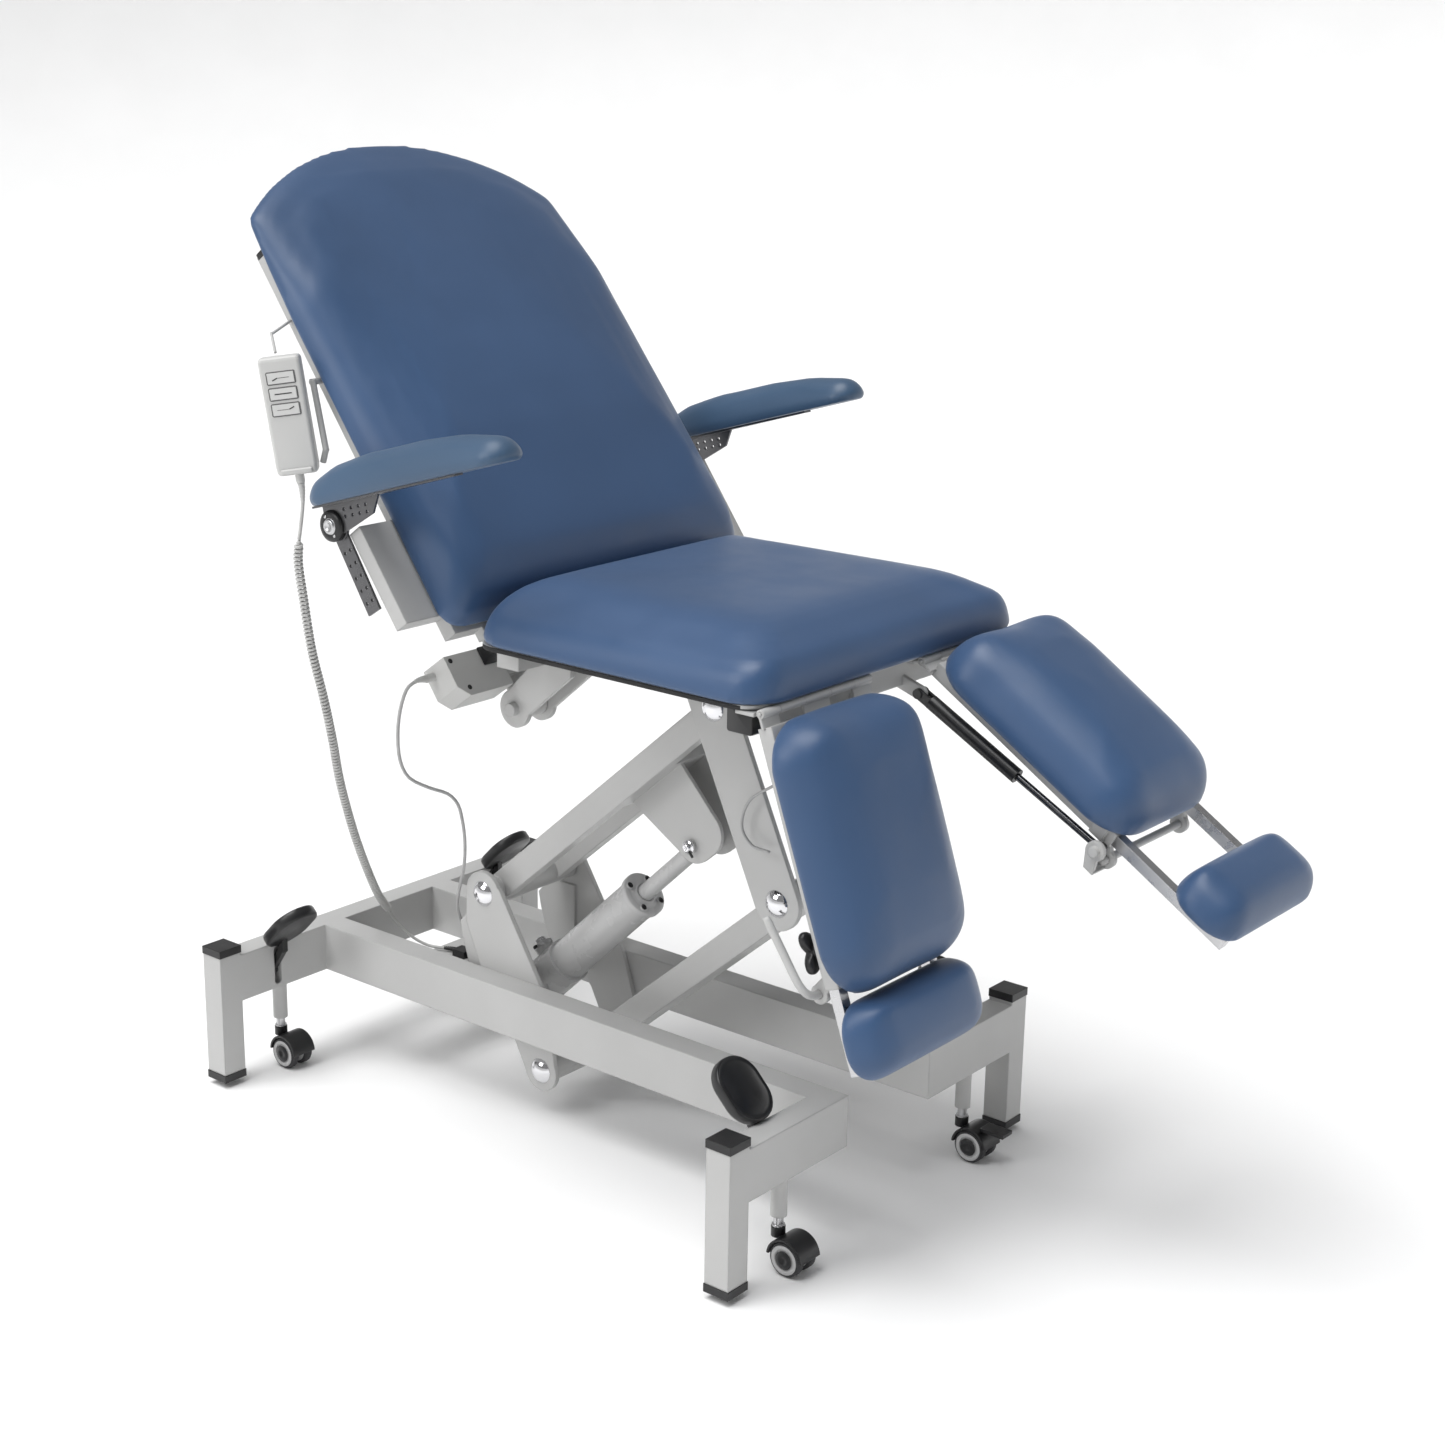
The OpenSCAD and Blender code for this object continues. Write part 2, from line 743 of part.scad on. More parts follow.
module on_spring(side) {
  v = spring_vec(side);
  mirror([0, side < 0 ? 1 : 0, 0]) along(spring_top, atan2(v[1], v[0])) translate([0, spring_y, 0]) children();
}

module gas_cylinder(side) {
  color(black) place() on_spring(side) {
    difference() {
      union() {
        translate([20, 0, 0]) rotate([0, 90, 0]) cylinder(d = spring_d, h = 160);
        both_sides() {
          box(0, 24, 3.5, 8, -7, 7);
          rod_y([0, 0], 14, 3.5, 10);
        }
      }
      translate([70, 0, 0]) rotate([0, 90, 0]) cylinder(d = spring_rod_d + 2 * run, h = 200);
    }
  }
}

module gas_rod(side) {
  tip = norm(spring_vec(side));
  color(chrome) place() on_spring(side) {
    translate([120, 0, 0]) rotate([0, 90, 0]) cylinder(d = spring_rod_d, h = tip - 122);
    rod_y([tip, 0], 15, -6, 6);
  }
}

module release_handle(side) {
  y_out = 306;
  color(light_grey) place() on_leg(side) {
    rod_y([handle_s, handle_h], handle_d, 68, y_out + handle_d / 2);
    bar([handle_s + 4, y_out, handle_h + 1], [246, y_out, handle_h - 31], handle_d - 1);
  }
}

module foot_rails(side) {
  shift = side < 0 ? foot_near : foot_far;
  color(chrome) place() on_leg(side) for (y = rail_y)
    box(150 + shift, 470 + shift, y - rail_w / 2, y + rail_w / 2, -9, 7);
}

module foot_pad(side) {
  shift = side < 0 ? foot_near : foot_far;
  start = 376 + shift;
  end = 479 + shift;
  color(blue) place() on_leg(side) {
    for (y = rail_y) box(start + 20, end - 14, y - rail_w / 2, y + rail_w / 2, 7, 12);
    intersection() {
      translate([0, 0, 10]) linear_extrude(60) union() {
        round_rect(start, end, leg_in, half_w, 42);
        round_rect(start, start + 60, leg_in, half_w, 16);
      }
      plate(leg_in, half_w) polygon([
        [start, 10], [start, 34], [start + 14, 46], [start + 35, 52], [start + 65, 50], [end - 14, 40], [end, 26], [end, 10],
      ]);
    }
  }
}

module clamp_knob(side) {
  lobe_r = 11;
  color(black) place() on_leg(side) translate([knob_s, rail_y[1], 0]) {
    translate([0, 0, -16]) cylinder(d = knob_pin_d, h = 6.5);
    translate([0, 0, -20]) cylinder(d = 22, h = 7.5);
    translate([0, 0, -29]) linear_extrude(12) {
      circle(r = 14);
      for (k = [0 : 2]) rotate(120 * k + 30) {
        translate([19.5, 0]) circle(r = lobe_r);
        translate([0, -9]) square([19.5, 18]);
      }
    }
  }
}

// Armrests: drawn on the +Y side
module on_arm(side) {
  mirror([0, side < 0 ? 1 : 0, 0]) along(arm_origin, arm_slope) children();
}

module armrest_brackets() {
  color(dark_grey) place() both_sides() {
    difference() {
      rod_y(arm_hinge, 46, wing_out, wing_out + 5);
      rod_y(arm_hinge, 10 + 2 * run, wing_out - 5, wing_out + 10);
    }
    along(arm_hinge, -57) difference() {
      box(18, 132, wing_out, wing_out + 4, -13, 13);
      for (k = [0 : 4], z = [-6, 6]) rod_y([40 + 19 * k, z], 5, wing_out - 1, wing_out + 5);
    }
  }
}

module armrest_arm(side) {
  inner = wing_out + 5.5;
  color(dark_grey) place() on_arm(side) {
    rod_y(arm_hinge_local, 40, inner, inner + 5);
    rod_y(arm_hinge_local, 20, inner + 4, inner + 12);
    rod_y(arm_hinge_local, 10, wing_out - 3, inner + 1);
    difference() {
      plate(inner, inner + 4) polygon([[14, -2], [12, -40], [44, -44], [112, -26], [130, -2]]);
      for (k = [0 : 3], z = [-12, -22]) rod_y([56 + 15 * k, z], 5, inner - 1, inner + 5);
    }
    translate([0, 0, -3]) linear_extrude(3)
      polygon([[14, inner - 22], [14, inner + 22], [150, inner + 20], [286, inner + 8], [286, inner - 8], [150, inner - 20]]);
  }
}

module armrest_pad(side) {
  color(blue) place() on_arm(side) intersection() {
    linear_extrude(60) round_rect(0, arm_pad_len, arm_in, arm_out, 34);
    plate(arm_in, arm_out) polygon([
      [0, 0], [0, 14], [20, 30], [60, 41], [130, 49], [230, 49], [310, 40], [370, 26], [arm_pad_len, 12], [arm_pad_len, 0],
    ]);
  }
}

// Hand control: local X across its face, local -Y is the face with the keys
module on_handset() {
  translate(hand_at) rotate([0, 0, hand_turn]) rotate([0, -hand_tilt, 0]) mirror([0, 0, 1]) children();
}

module handset() {
  color(light_grey) place() on_handset() {
    difference() {
      translate([0, 0, -hand_h / 2]) linear_extrude(hand_h)
        round_rect(-hand_w / 2, hand_w / 2, -hand_t / 2, hand_t / 2, 4);
      for (k = [0 : 2])
        translate([0, 0, -54 + 22 * k]) box(-19, 19, -hand_t / 2 - 1, -hand_t / 2 + 3, -8, 8);
    }
    translate([0, 0, hand_h / 2 - 4]) box(-22, 22, -hand_t / 2 - 3, 0, -6, 4);
    translate([0, 0, hand_h / 2 - 1]) cylinder(d = 12, h = 14);
  }
}

module key(k) {
  color(light_grey) place() on_handset() translate([0, 0, -54 + 22 * k])
    box(-18.5, 18.5, -hand_t / 2 - 1.5, -hand_t / 2 + 1.2, -7.5, 7.5);
}

// Cords
module handset_lead() {
  color(cable_grey) place() tube(lead_route, cord_d, 8);
}
module handset_coil() {
  color(cable_grey) place() tube(coil_route, coil_d, 12);
}
module handset_tail() {
  color(cable_grey) place() tube(tail_route, cord_d, 8);
}
module motor_cable() {
  color(cable_grey) place() tube(motor_route, motor_d, 8);
}

base_frame();
base_brackets();
base_plugs();
pivot_caps();
link_caps();
castor_stem_at(-1, -1);  // castor_stem_hl
castor_stem_at(-1, 1);  // castor_stem_hr
castor_stem_at(1, -1);  // castor_stem_fl
castor_stem_at(1, 1);  // castor_stem_fr
castor_hood_at(-1, -1, false);  // castor_hood_hl
castor_hood_at(-1, 1, false);  // castor_hood_hr
castor_hood_at(1, -1, false);  // castor_hood_fl
castor_hood_at(1, 1, true);  // castor_hood_fr
castor_wheels_at(-1, -1);  // castor_wheels_hl
castor_wheels_at(-1, 1);  // castor_wheels_hr
castor_wheels_at(1, -1);  // castor_wheels_fl
castor_wheels_at(1, 1);  // castor_wheels_fr
pedal_at(-1, -1);  // pedal_hl
pedal_at(-1, 1);  // pedal_hr
pedal_at(1, -1);  // pedal_fl
pedal_at(1, 1);  // pedal_fr
upper_arm();
lower_arm();
lift_actuator();
lift_rod();
seat_frame();
seat_pad();
backrest_frame();
backrest_pad();
back_actuator();
back_rod();
leg_frame(-1);  // leg_frame_l
leg_pad(-1);  // leg_pad_l
gas_cylinder(-1);  // gas_cylinder_l
gas_rod(-1);  // gas_rod_l
release_handle(-1);  // release_handle_l
foot_rails(-1);  // foot_rails_l
foot_pad(-1);  // foot_pad_l
clamp_knob(-1);  // clamp_knob_l
leg_frame(1);  // leg_frame_r
leg_pad(1);  // leg_pad_r
gas_cylinder(1);  // gas_cylinder_r
gas_rod(1);  // gas_rod_r
release_handle(1);  // release_handle_r
foot_rails(1);  // foot_rails_r
foot_pad(1);  // foot_pad_r
clamp_knob(1);  // clamp_knob_r
armrest_brackets();
armrest_arm(-1);  // armrest_arm_l
armrest_arm(1);  // armrest_arm_r
armrest_pad(-1);  // armrest_pad_l
armrest_pad(1);  // armrest_pad_r
handset();
key(0);  // key_1
key(1);  // key_2
key(2);  // key_3
handset_lead();
handset_coil();
handset_tail();
motor_cable();
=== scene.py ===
import math

import bmesh
import bpy
import numpy as np
from mathutils import Matrix, Vector


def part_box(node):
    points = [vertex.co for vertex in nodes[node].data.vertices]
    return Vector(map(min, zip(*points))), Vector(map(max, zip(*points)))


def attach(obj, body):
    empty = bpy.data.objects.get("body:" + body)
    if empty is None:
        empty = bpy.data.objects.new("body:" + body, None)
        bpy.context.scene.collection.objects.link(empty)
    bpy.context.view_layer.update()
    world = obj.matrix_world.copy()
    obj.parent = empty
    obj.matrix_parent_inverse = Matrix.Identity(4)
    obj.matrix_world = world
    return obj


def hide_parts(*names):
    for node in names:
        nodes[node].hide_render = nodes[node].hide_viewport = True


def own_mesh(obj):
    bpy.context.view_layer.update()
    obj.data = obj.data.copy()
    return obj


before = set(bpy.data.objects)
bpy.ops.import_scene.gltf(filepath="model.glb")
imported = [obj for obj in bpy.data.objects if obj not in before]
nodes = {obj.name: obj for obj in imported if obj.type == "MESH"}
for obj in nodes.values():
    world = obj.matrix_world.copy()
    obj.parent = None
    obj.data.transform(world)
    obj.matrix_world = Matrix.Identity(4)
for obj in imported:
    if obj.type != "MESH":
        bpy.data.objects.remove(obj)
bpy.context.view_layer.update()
scene = bpy.context.scene

# ---------------------------------------------------------------- axes
# The couch is drawn in millimetres about the middle of its base; at() puts a point in the row frame.
BASE_X = 235
GROUND = 10


def at(x, y, z):
    return Vector(((x - BASE_X) / 1000, y / 1000, (z + GROUND) / 1000))


def basis(origin, ux, uy, uz):
    """Matrix from local millimetres to the row frame."""
    columns = [Vector(u).normalized() / 1000 for u in (ux, uy, uz)]
    m = Matrix.Identity(4)
    for c, u in enumerate(columns):
        for r in range(3):
            m[r][c] = u[r]
    p = at(*origin)
    for r in range(3):
        m[r][3] = p[r]
    return m


def along(x, z, angle, y=0.0, side=1):
    """Local X rises at angle degrees from (x, z), local Z stands off it, local Y is across."""
    a = math.radians(angle)
    return basis((x, y, z), (math.cos(a), 0, math.sin(a)), (0, side, 0), (-math.sin(a), 0, math.cos(a)))


WORLD = basis((0, 0, 0), (1, 0, 0), (0, 1, 0), (0, 0, 1))
BACK_ANGLE = 53.5
back_up = math.radians(180 - BACK_ANGLE)
BACK = basis(
    (0, 0, 800), (math.cos(back_up), 0, math.sin(back_up)), (0, 1, 0),
    (math.sin(back_up), 0, -math.cos(back_up)),
)
LEG_ANGLE = {"l": 70, "r": 32}
SIDE = {"l": -1, "r": 1}
SIDES = ("l", "r")


def leg_axes(leg):
    a = math.radians(LEG_ANGLE[leg])
    down, out = (math.cos(a), 0, -math.sin(a)), (math.sin(a), 0, math.cos(a))
    return basis((508, 0, 780), down, (0, SIDE[leg], 0), out)


def arm_axes(leg):
    return along(-205, 956, 16.4, side=SIDE[leg])


hand_turn, hand_tilt = math.radians(38.9), math.radians(-8)
hand_rot = Matrix.Rotation(hand_turn, 3, "Z") @ Matrix.Rotation(hand_tilt, 3, "Y")
hand_sides = [hand_rot @ Vector(v) for v in ((1, 0, 0), (0, 1, 0), (0, 0, -1))]
HAND = basis((-284, -350, 1070), *hand_sides)

# ---------------------------------------------------------------- camera
AZIMUTH, ELEVATION, ROLL = math.radians(38.92), math.radians(16.272), math.radians(0.986)
back = Vector((
    math.sin(AZIMUTH) * math.cos(ELEVATION),
    -math.cos(AZIMUTH) * math.cos(ELEVATION),
    math.sin(ELEVATION),
))
level = Vector((math.cos(AZIMUTH), math.sin(AZIMUTH), 0))
rise = back.cross(level)
cam_x = math.cos(ROLL) * level + math.sin(ROLL) * rise
cam_y = -math.sin(ROLL) * level + math.cos(ROLL) * rise
camera = bpy.data.objects.new("camera", bpy.data.cameras.new("camera"))
scene.collection.objects.link(camera)
camera.matrix_world = Matrix((
    (cam_x.x, cam_y.x, back.x, 2.002),
    (cam_x.y, cam_y.y, back.y, -2.505),
    (cam_x.z, cam_y.z, back.z, 1.599),
    (0, 0, 0, 1),
))
camera.data.sensor_width = 36
camera.data.lens = 58.91
camera.data.clip_end = 60
scene.camera = camera

# ---------------------------------------------------------------- materials


class Look:
    """A node material in object coordinates, with its parts added one at a time."""

    def __init__(self, name, rough, metal=0.0):
        self.mat = bpy.data.materials.new(name)
        self.mat.use_nodes = True
        self.tree = self.mat.node_tree
        self.shader = self.tree.nodes["Principled BSDF"]
        self.shader.inputs["Roughness"].default_value = rough
        self.shader.inputs["Metallic"].default_value = metal
        self.place = self.add("ShaderNodeTexCoord").outputs["Object"]

    def add(self, kind, links=None, **values):
        node = self.tree.nodes.new(kind)
        for key, value in values.items():
            if key in node.inputs:
                node.inputs[key].default_value = value
            else:
                setattr(node, key, value)
        for key, source in (links or {}).items():
            self.tree.links.new(source, node.inputs[key])
        return node

    def noise(self, scale, detail=3.0, stretch=None):
        place = self.place
        if stretch:
            place = self.add("ShaderNodeMapping", {"Vector": place}, Scale=stretch).outputs["Vector"]
        return self.add("ShaderNodeTexNoise", {"Vector": place}, Scale=scale, Detail=detail).outputs["Fac"]

    def cells(self, scale):
        return self.add("ShaderNodeTexVoronoi", {"Vector": self.place}, Scale=scale).outputs["Distance"]

    def span(self, source, low, high, start=0.3, end=0.7):
        node = self.add("ShaderNodeMapRange", {"Value": source})
        for key, value in (("From Min", start), ("From Max", end), ("To Min", low), ("To Max", high)):
            node.inputs[key].default_value = value
        return node.outputs["Result"]

    def mix(self, a, b, factor):
        node = self.add("ShaderNodeMix", {"Factor": factor}, data_type="RGBA")
        for key, value in (("A", a), ("B", b)):
            socket = [s for s in node.inputs if s.name == key and s.type == "RGBA"][0]
            if isinstance(value, tuple):
                socket.default_value = (*value, 1)
            else:
                self.tree.links.new(value, socket)
        return [s for s in node.outputs if s.type == "RGBA"][0]

    def set(self, socket, source):
        self.tree.links.new(source, self.shader.inputs[socket])

    def relief(self, height, strength, depth, normal=None):
        links = {"Height": height}
        if normal is not None:
            links["Normal"] = normal
        node = self.add("ShaderNodeBump", links, Strength=strength, Distance=depth)
        return node.outputs["Normal"]

    def edges(self, radius):
        """(rounded normal, how near an edge a point is) for a hard-edged part."""
        round_over = self.add("ShaderNodeBevel", samples=6, Radius=radius).outputs["Normal"]
        face = self.add("ShaderNodeNewGeometry").outputs["Normal"]
        dot = self.add("ShaderNodeVectorMath", {0: round_over, 1: face}, operation="DOT_PRODUCT")
        return round_over, self.span(dot.outputs["Value"], 1, 0, 0.75, 0.995)


def shade(colour, factor):
    return tuple(c * factor for c in colour)


def paint(name, colour, rough, radius=0.003, grain=900, edge_wear_and_highlight=0.25, metal=0.0):
    """Sprayed or moulded finish: fine texture, slow colour drift, paler edges that are partly edge wear and
    partly painted highlight.
    """
    look = Look(name, rough, metal)
    normal, edge = look.edges(radius)
    drift = look.span(look.noise(5.0, 4.0), 0, 1)
    base = look.mix(shade(colour, 0.94), shade(colour, 1.05), drift)
    # Paler colour in patches along the edges: partly edge wear, partly a painted highlight on the edges.
    patches = look.span(look.noise(70, 5), 0, edge_wear_and_highlight)
    worn_and_lit_edges = look.add("ShaderNodeMath", {0: edge, 1: patches}, operation="MULTIPLY")
    bright = tuple(min(1.0, c * 1.35 + 0.02) for c in colour)
    look.set("Base Color", look.mix(base, bright, worn_and_lit_edges.outputs[0]))
    look.set("Roughness", look.span(look.noise(22, 4), rough * 0.85, min(1.0, rough * 1.2)))
    look.set("Normal", look.relief(look.noise(grain, 2.0), 0.12, 0.0003, normal))
    return look


def upholstery(name, colour):
    """Smooth wipe-clean vinyl over foam: fine leather grain, faint wide waves, soft sheen."""
    look = Look(name, 0.42)
    drift = look.span(look.noise(3.5, 4.0), 0, 1)
    base = look.mix(shade(colour, 0.92), shade(colour, 1.08), drift)
    pores = look.span(look.cells(1300), 0.9, 1.0, 0.0, 0.5)
    tone = look.mix(shade(colour, 0.8), (1.0, 1.0, 1.0), pores)
    node = look.add("ShaderNodeMix", data_type="RGBA", blend_type="MULTIPLY")
    node.inputs["Factor"].default_value = 0.12
    colours = [s for s in node.inputs if s.type == "RGBA"]
    look.tree.links.new(base, colours[0])
    look.tree.links.new(tone, colours[1])
    look.set("Base Color", [s for s in node.outputs if s.type == "RGBA"][0])
    look.set("Roughness", look.span(look.noise(14, 3), 0.38, 0.48))
    waves = look.relief(look.noise(9, 2), 0.12, 0.004)
    look.set("Normal", look.relief(look.cells(1300), 0.22, 0.0002, waves))
    look.shader.inputs["Sheen Weight"].default_value = 0.12
    look.shader.inputs["Sheen Roughness"].default_value = 0.5
    look.shader.inputs["Specular IOR Level"].default_value = 0.5
    return look


def bright_metal(name, colour, rough, radius=0.001):
    """Chromed or ground metal with fine drawn lines and a little haze."""
    look = Look(name, rough, 1.0)
    normal, edge = look.edges(radius)
    haze = look.span(look.noise(12, 4), 0, 1)
    look.set("Base Color", look.mix(shade(colour, 0.88), colour, haze))
    look.set("Roughness", look.span(look.noise(30, 3), rough * 0.7, rough * 1.5))
    lines = look.noise(420, 2, stretch=(1, 1, 12))
    look.set("Normal", look.relief(lines, 0.05, 0.0002, normal))
    return look


def jacket(name, colour):
    """Extruded cord jacket, slightly soft."""
    look = Look(name, 0.45)
    drift = look.span(look.noise(40, 3), 0, 1)
    look.set("Base Color", look.mix(shade(colour, 0.9), shade(colour, 1.06), drift))
    look.set("Roughness", look.span(look.noise(90, 3), 0.38, 0.55))
    look.set("Normal", look.relief(look.noise(1200, 2), 0.15, 0.0002))
    return look


GREY = (0.47, 0.47, 0.465)
looks = {
    "frame": paint("frame_paint", GREY, 0.34, 0.0035, 1100),
    "actuator": paint("actuator_paint", (0.5, 0.5, 0.5), 0.26, 0.002, 700),
    "shell": paint("motor_shell", (0.5, 0.5, 0.49), 0.42, 0.002, 1800),
    "black": paint("black_plastic", (0.010, 0.010, 0.011), 0.34, 0.0015, 1800, 0.35),
    "board": paint("board_lining", (0.012, 0.012, 0.013), 0.7, 0.001, 2400, 0.2),
    # The dark steel's edges are made much paler: partly edge wear, mostly a painted highlight along its
    # rims.
    "dark": paint("dark_steel", (0.13, 0.13, 0.135), 0.3, 0.001, 900, 0.9, 0.75),
    "chrome": bright_metal("chrome_parts", (0.82, 0.82, 0.84), 0.08, 0.0015),
    "rail": bright_metal("ground_rail", (0.6, 0.6, 0.61), 0.26),
    "rod": bright_metal("dark_rod", (0.12, 0.12, 0.125), 0.22),
    "rubber": paint("wheel_tread", (0.03, 0.03, 0.032), 0.7, 0.001, 1600, 0.3),
    "rim": paint("wheel_rim", (0.5, 0.5, 0.5), 0.45, 0.001, 1400, 0.2),
    "handset": paint("handset_plastic", (0.56, 0.56, 0.55), 0.4, 0.0015, 2200, 0.1),
    "key": paint("key_plastic", (0.62, 0.62, 0.61), 0.45, 0.0012, 2200, 0.1),
    # Dark grey round the keys: painted shade of the recess each key sits in.
    "groove": paint("key_recess_painted_shade", (0.12, 0.12, 0.12), 0.5, 0.0004, 1500, 0.1),
    "vinyl": upholstery("couch_vinyl", (0.031, 0.076, 0.172)),
    "arm_vinyl": upholstery("arm_vinyl", (0.038, 0.083, 0.152)),
    "cord": jacket("cord_jacket", (0.5, 0.5, 0.49)),
    "wire": jacket("grey_wire", (0.4, 0.4, 0.4)),
    "mark": paint("marking_ink", (0.03, 0.03, 0.03), 0.5, 0.0002, 1500, 0.1),
}

FINISH = {
    "base_frame": "frame", "base_brackets": "frame", "base_plugs": "black", "pivot_caps": "chrome",
    "link_caps": "chrome", "castor_stem": "rail", "castor_hood": "black", "pedal": "black",
    "upper_arm": "frame", "lower_arm": "frame", "lift_actuator": "actuator", "lift_rod": "actuator",
    "seat_frame": "frame", "backrest_frame": "frame", "back_actuator": "shell", "back_rod": "chrome",
    "leg_frame": "frame", "gas_cylinder": "black", "gas_rod": "rod", "foot_rails": "rail",
    "armrest_brackets": "dark", "armrest_arm": "dark", "key_": "key", "handset": "handset",
    "castor_wheels": "rim",
}
for name, obj in nodes.items():
    for start, finish in FINISH.items():
        if name.startswith(start):
            for s in obj.material_slots:
                s.material = looks[finish].mat

# ---------------------------------------------------------------- builders


def piece(name, bm, matrix, body, finishes, smooth=True, replaced=()):
    """Turns local mesh code into a piece that rides on a body."""
    bmesh.ops.transform(bm, matrix=matrix, verts=bm.verts)
    bmesh.ops.recalc_face_normals(bm, faces=bm.faces)
    mesh = bpy.data.meshes.new(name)
    bm.to_mesh(mesh)
    bm.free()
    obj = bpy.data.objects.new(name, mesh)
    scene.collection.objects.link(obj)
    for finish in finishes:
        mesh.materials.append(looks[finish].mat)
    if smooth:
        mesh.shade_smooth()
    if body:
        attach(obj, body)
    if replaced:
        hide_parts(*replaced)
    return obj


def add_lathe(bm, profile, axes=None, steps=40):
    """Turns (radius, height, finish) points round local Z of axes."""
    axes = axes or Matrix.Identity(4)
    rings = []
    for r, h, _ in profile:
        if r < 1e-6:
            rings.append([bm.verts.new(axes @ Vector((0, 0, h)))])
            continue
        ring = []
        for k in range(steps):
            a = 2 * math.pi * k / steps
            ring.append(bm.verts.new(axes @ Vector((r * math.cos(a), r * math.sin(a), h))))
        rings.append(ring)
    for (low, high), (_, _, finish) in zip(zip(rings, rings[1:]), profile[1:]):
        for k in range(steps):
            n = (k + 1) % steps
            corners = [low[k % len(low)], low[n % len(low)], high[n % len(high)], high[k % len(high)]]
            face = bm.faces.new(list(dict.fromkeys(corners)))
            face.material_index = finish
    return rings


def pose_z(point, direction):
    """Local axes at point with Z along direction."""
    m = Vector(direction).to_track_quat("Z", "Y").to_matrix().to_4x4()
    m.translation = Vector(point)
    return m


def rounded(points, radius, steps=5):
    """Rounds each corner of a closed outline."""
    out = []
    count = len(points)
    for k, p in enumerate(points):
        p = Vector(p)
        a, b = Vector(points[k - 1]), Vector(points[(k + 1) % count])
        u, v = (a - p), (b - p)
        turn = math.acos(max(-1, min(1, u.normalized().dot(v.normalized()))))
        cut = min(radius / math.tan(turn / 2), u.length * 0.49, v.length * 0.49)
        r = cut * math.tan(turn / 2)
        centre = p + (u.normalized() + v.normalized()).normalized() * (r / math.sin(turn / 2))
        s, e = p + u.normalized() * cut - centre, p + v.normalized() * cut - centre
        for i in range(steps + 1):
            t = i / steps
            w = s.lerp(e, t)
            out.append(centre + w.normalized() * r)
    return out


def slab(bm, outline, low, high, bevel=1.0, finish=0, axes=None):
    """Extruded outline in local X and Y with softened rims."""
    axes = axes or Matrix.Identity(4)
    rings = []
    for inset, h in ((bevel, low), (0, low + bevel), (0, high - bevel), (bevel, high)):
        centre = sum((Vector(p) for p in outline), Vector((0, 0))) / len(outline)
        ring = []
        for k, p in enumerate(outline):
            p = Vector(p)
            t = (Vector(outline[(k + 1) % len(outline)]) - Vector(outline[k - 1])).normalized()
            n = Vector((t.y, -t.x))
            if n.dot(p - centre) < 0 and len(outline) <= 40:
                n = -n
            q = p - n * inset
            ring.append(bm.verts.new(axes @ Vector((q.x, q.y, h))))
        rings.append(ring)
    faces = [bm.faces.new(list(reversed(rings[0]))), bm.faces.new(rings[-1])]
    for a, b in zip(rings, rings[1:]):
        for k in range(len(a)):
            n = (k + 1) % len(a)
            faces.append(bm.faces.new([a[k], a[n], b[n], b[k]]))
    for f in faces:
        f.material_index = finish
    return faces


def rect(x0, x1, y0, y1, radius=3.0, steps=4):
    return rounded([(x0, y0), (x1, y0), (x1, y1), (x0, y1)], radius, steps)


def smooth_path(points, per=8):
    """Catmull-Rom points through the given ones."""
    p = [Vector(q) for q in points]
    ends = [p[0] * 2 - p[1]] + p + [p[-1] * 2 - p[-2]]
    out = []
    for k in range(1, len(ends) - 2):
        a, b, c, d = ends[k - 1], ends[k], ends[k + 1], ends[k + 2]
        for i in range(per):
            t = i / per
            bend = (2 * a - 5 * b + 4 * c - d) * t * t
            out.append(0.5 * (2 * b + (c - a) * t + bend + (3 * b - a - 3 * c + d) * t ** 3))
    out.append(p[-1])
    return out


def add_tube(bm, path, radius, steps=14):
    """Round tube along a path, closed at its ends; radius may be a number or one per point."""
    path = [Vector(q) for q in path]
    radii = [radius] * len(path) if isinstance(radius, (int, float)) else radius
    side, rings = None, []
    for k, p in enumerate(path):
        t = (path[min(k + 1, len(path) - 1)] - path[max(k - 1, 0)]).normalized()
        if side is None:
            side = t.orthogonal().normalized()
        side = (side - t * side.dot(t)).normalized()
        other = t.cross(side)
        ring = []
        for i in range(steps):
            a = 2 * math.pi * i / steps
            ring.append(bm.verts.new(p + (side * math.cos(a) + other * math.sin(a)) * radii[k]))
        rings.append(ring)
    for a, b in zip(rings, rings[1:]):
        for i in range(steps):
            n = (i + 1) % steps
            bm.faces.new([a[i], a[n], b[n], b[i]])
    bm.faces.new(list(reversed(rings[0])))
    bm.faces.new(rings[-1])


def skin(bm, rings):
    """Closed surface over a stack of rings."""
    for a, b in zip(rings, rings[1:]):
        for k in range(len(a)):
            n = (k + 1) % len(a)
            bm.faces.new([a[k], a[n], b[n], b[k]])
    bm.faces.new(list(reversed(rings[0])))
    bm.faces.new(rings[-1])


# ---------------------------------------------------------------- cords


def path_length(points):
    return sum((b - a).length for a, b in zip(points, points[1:]))


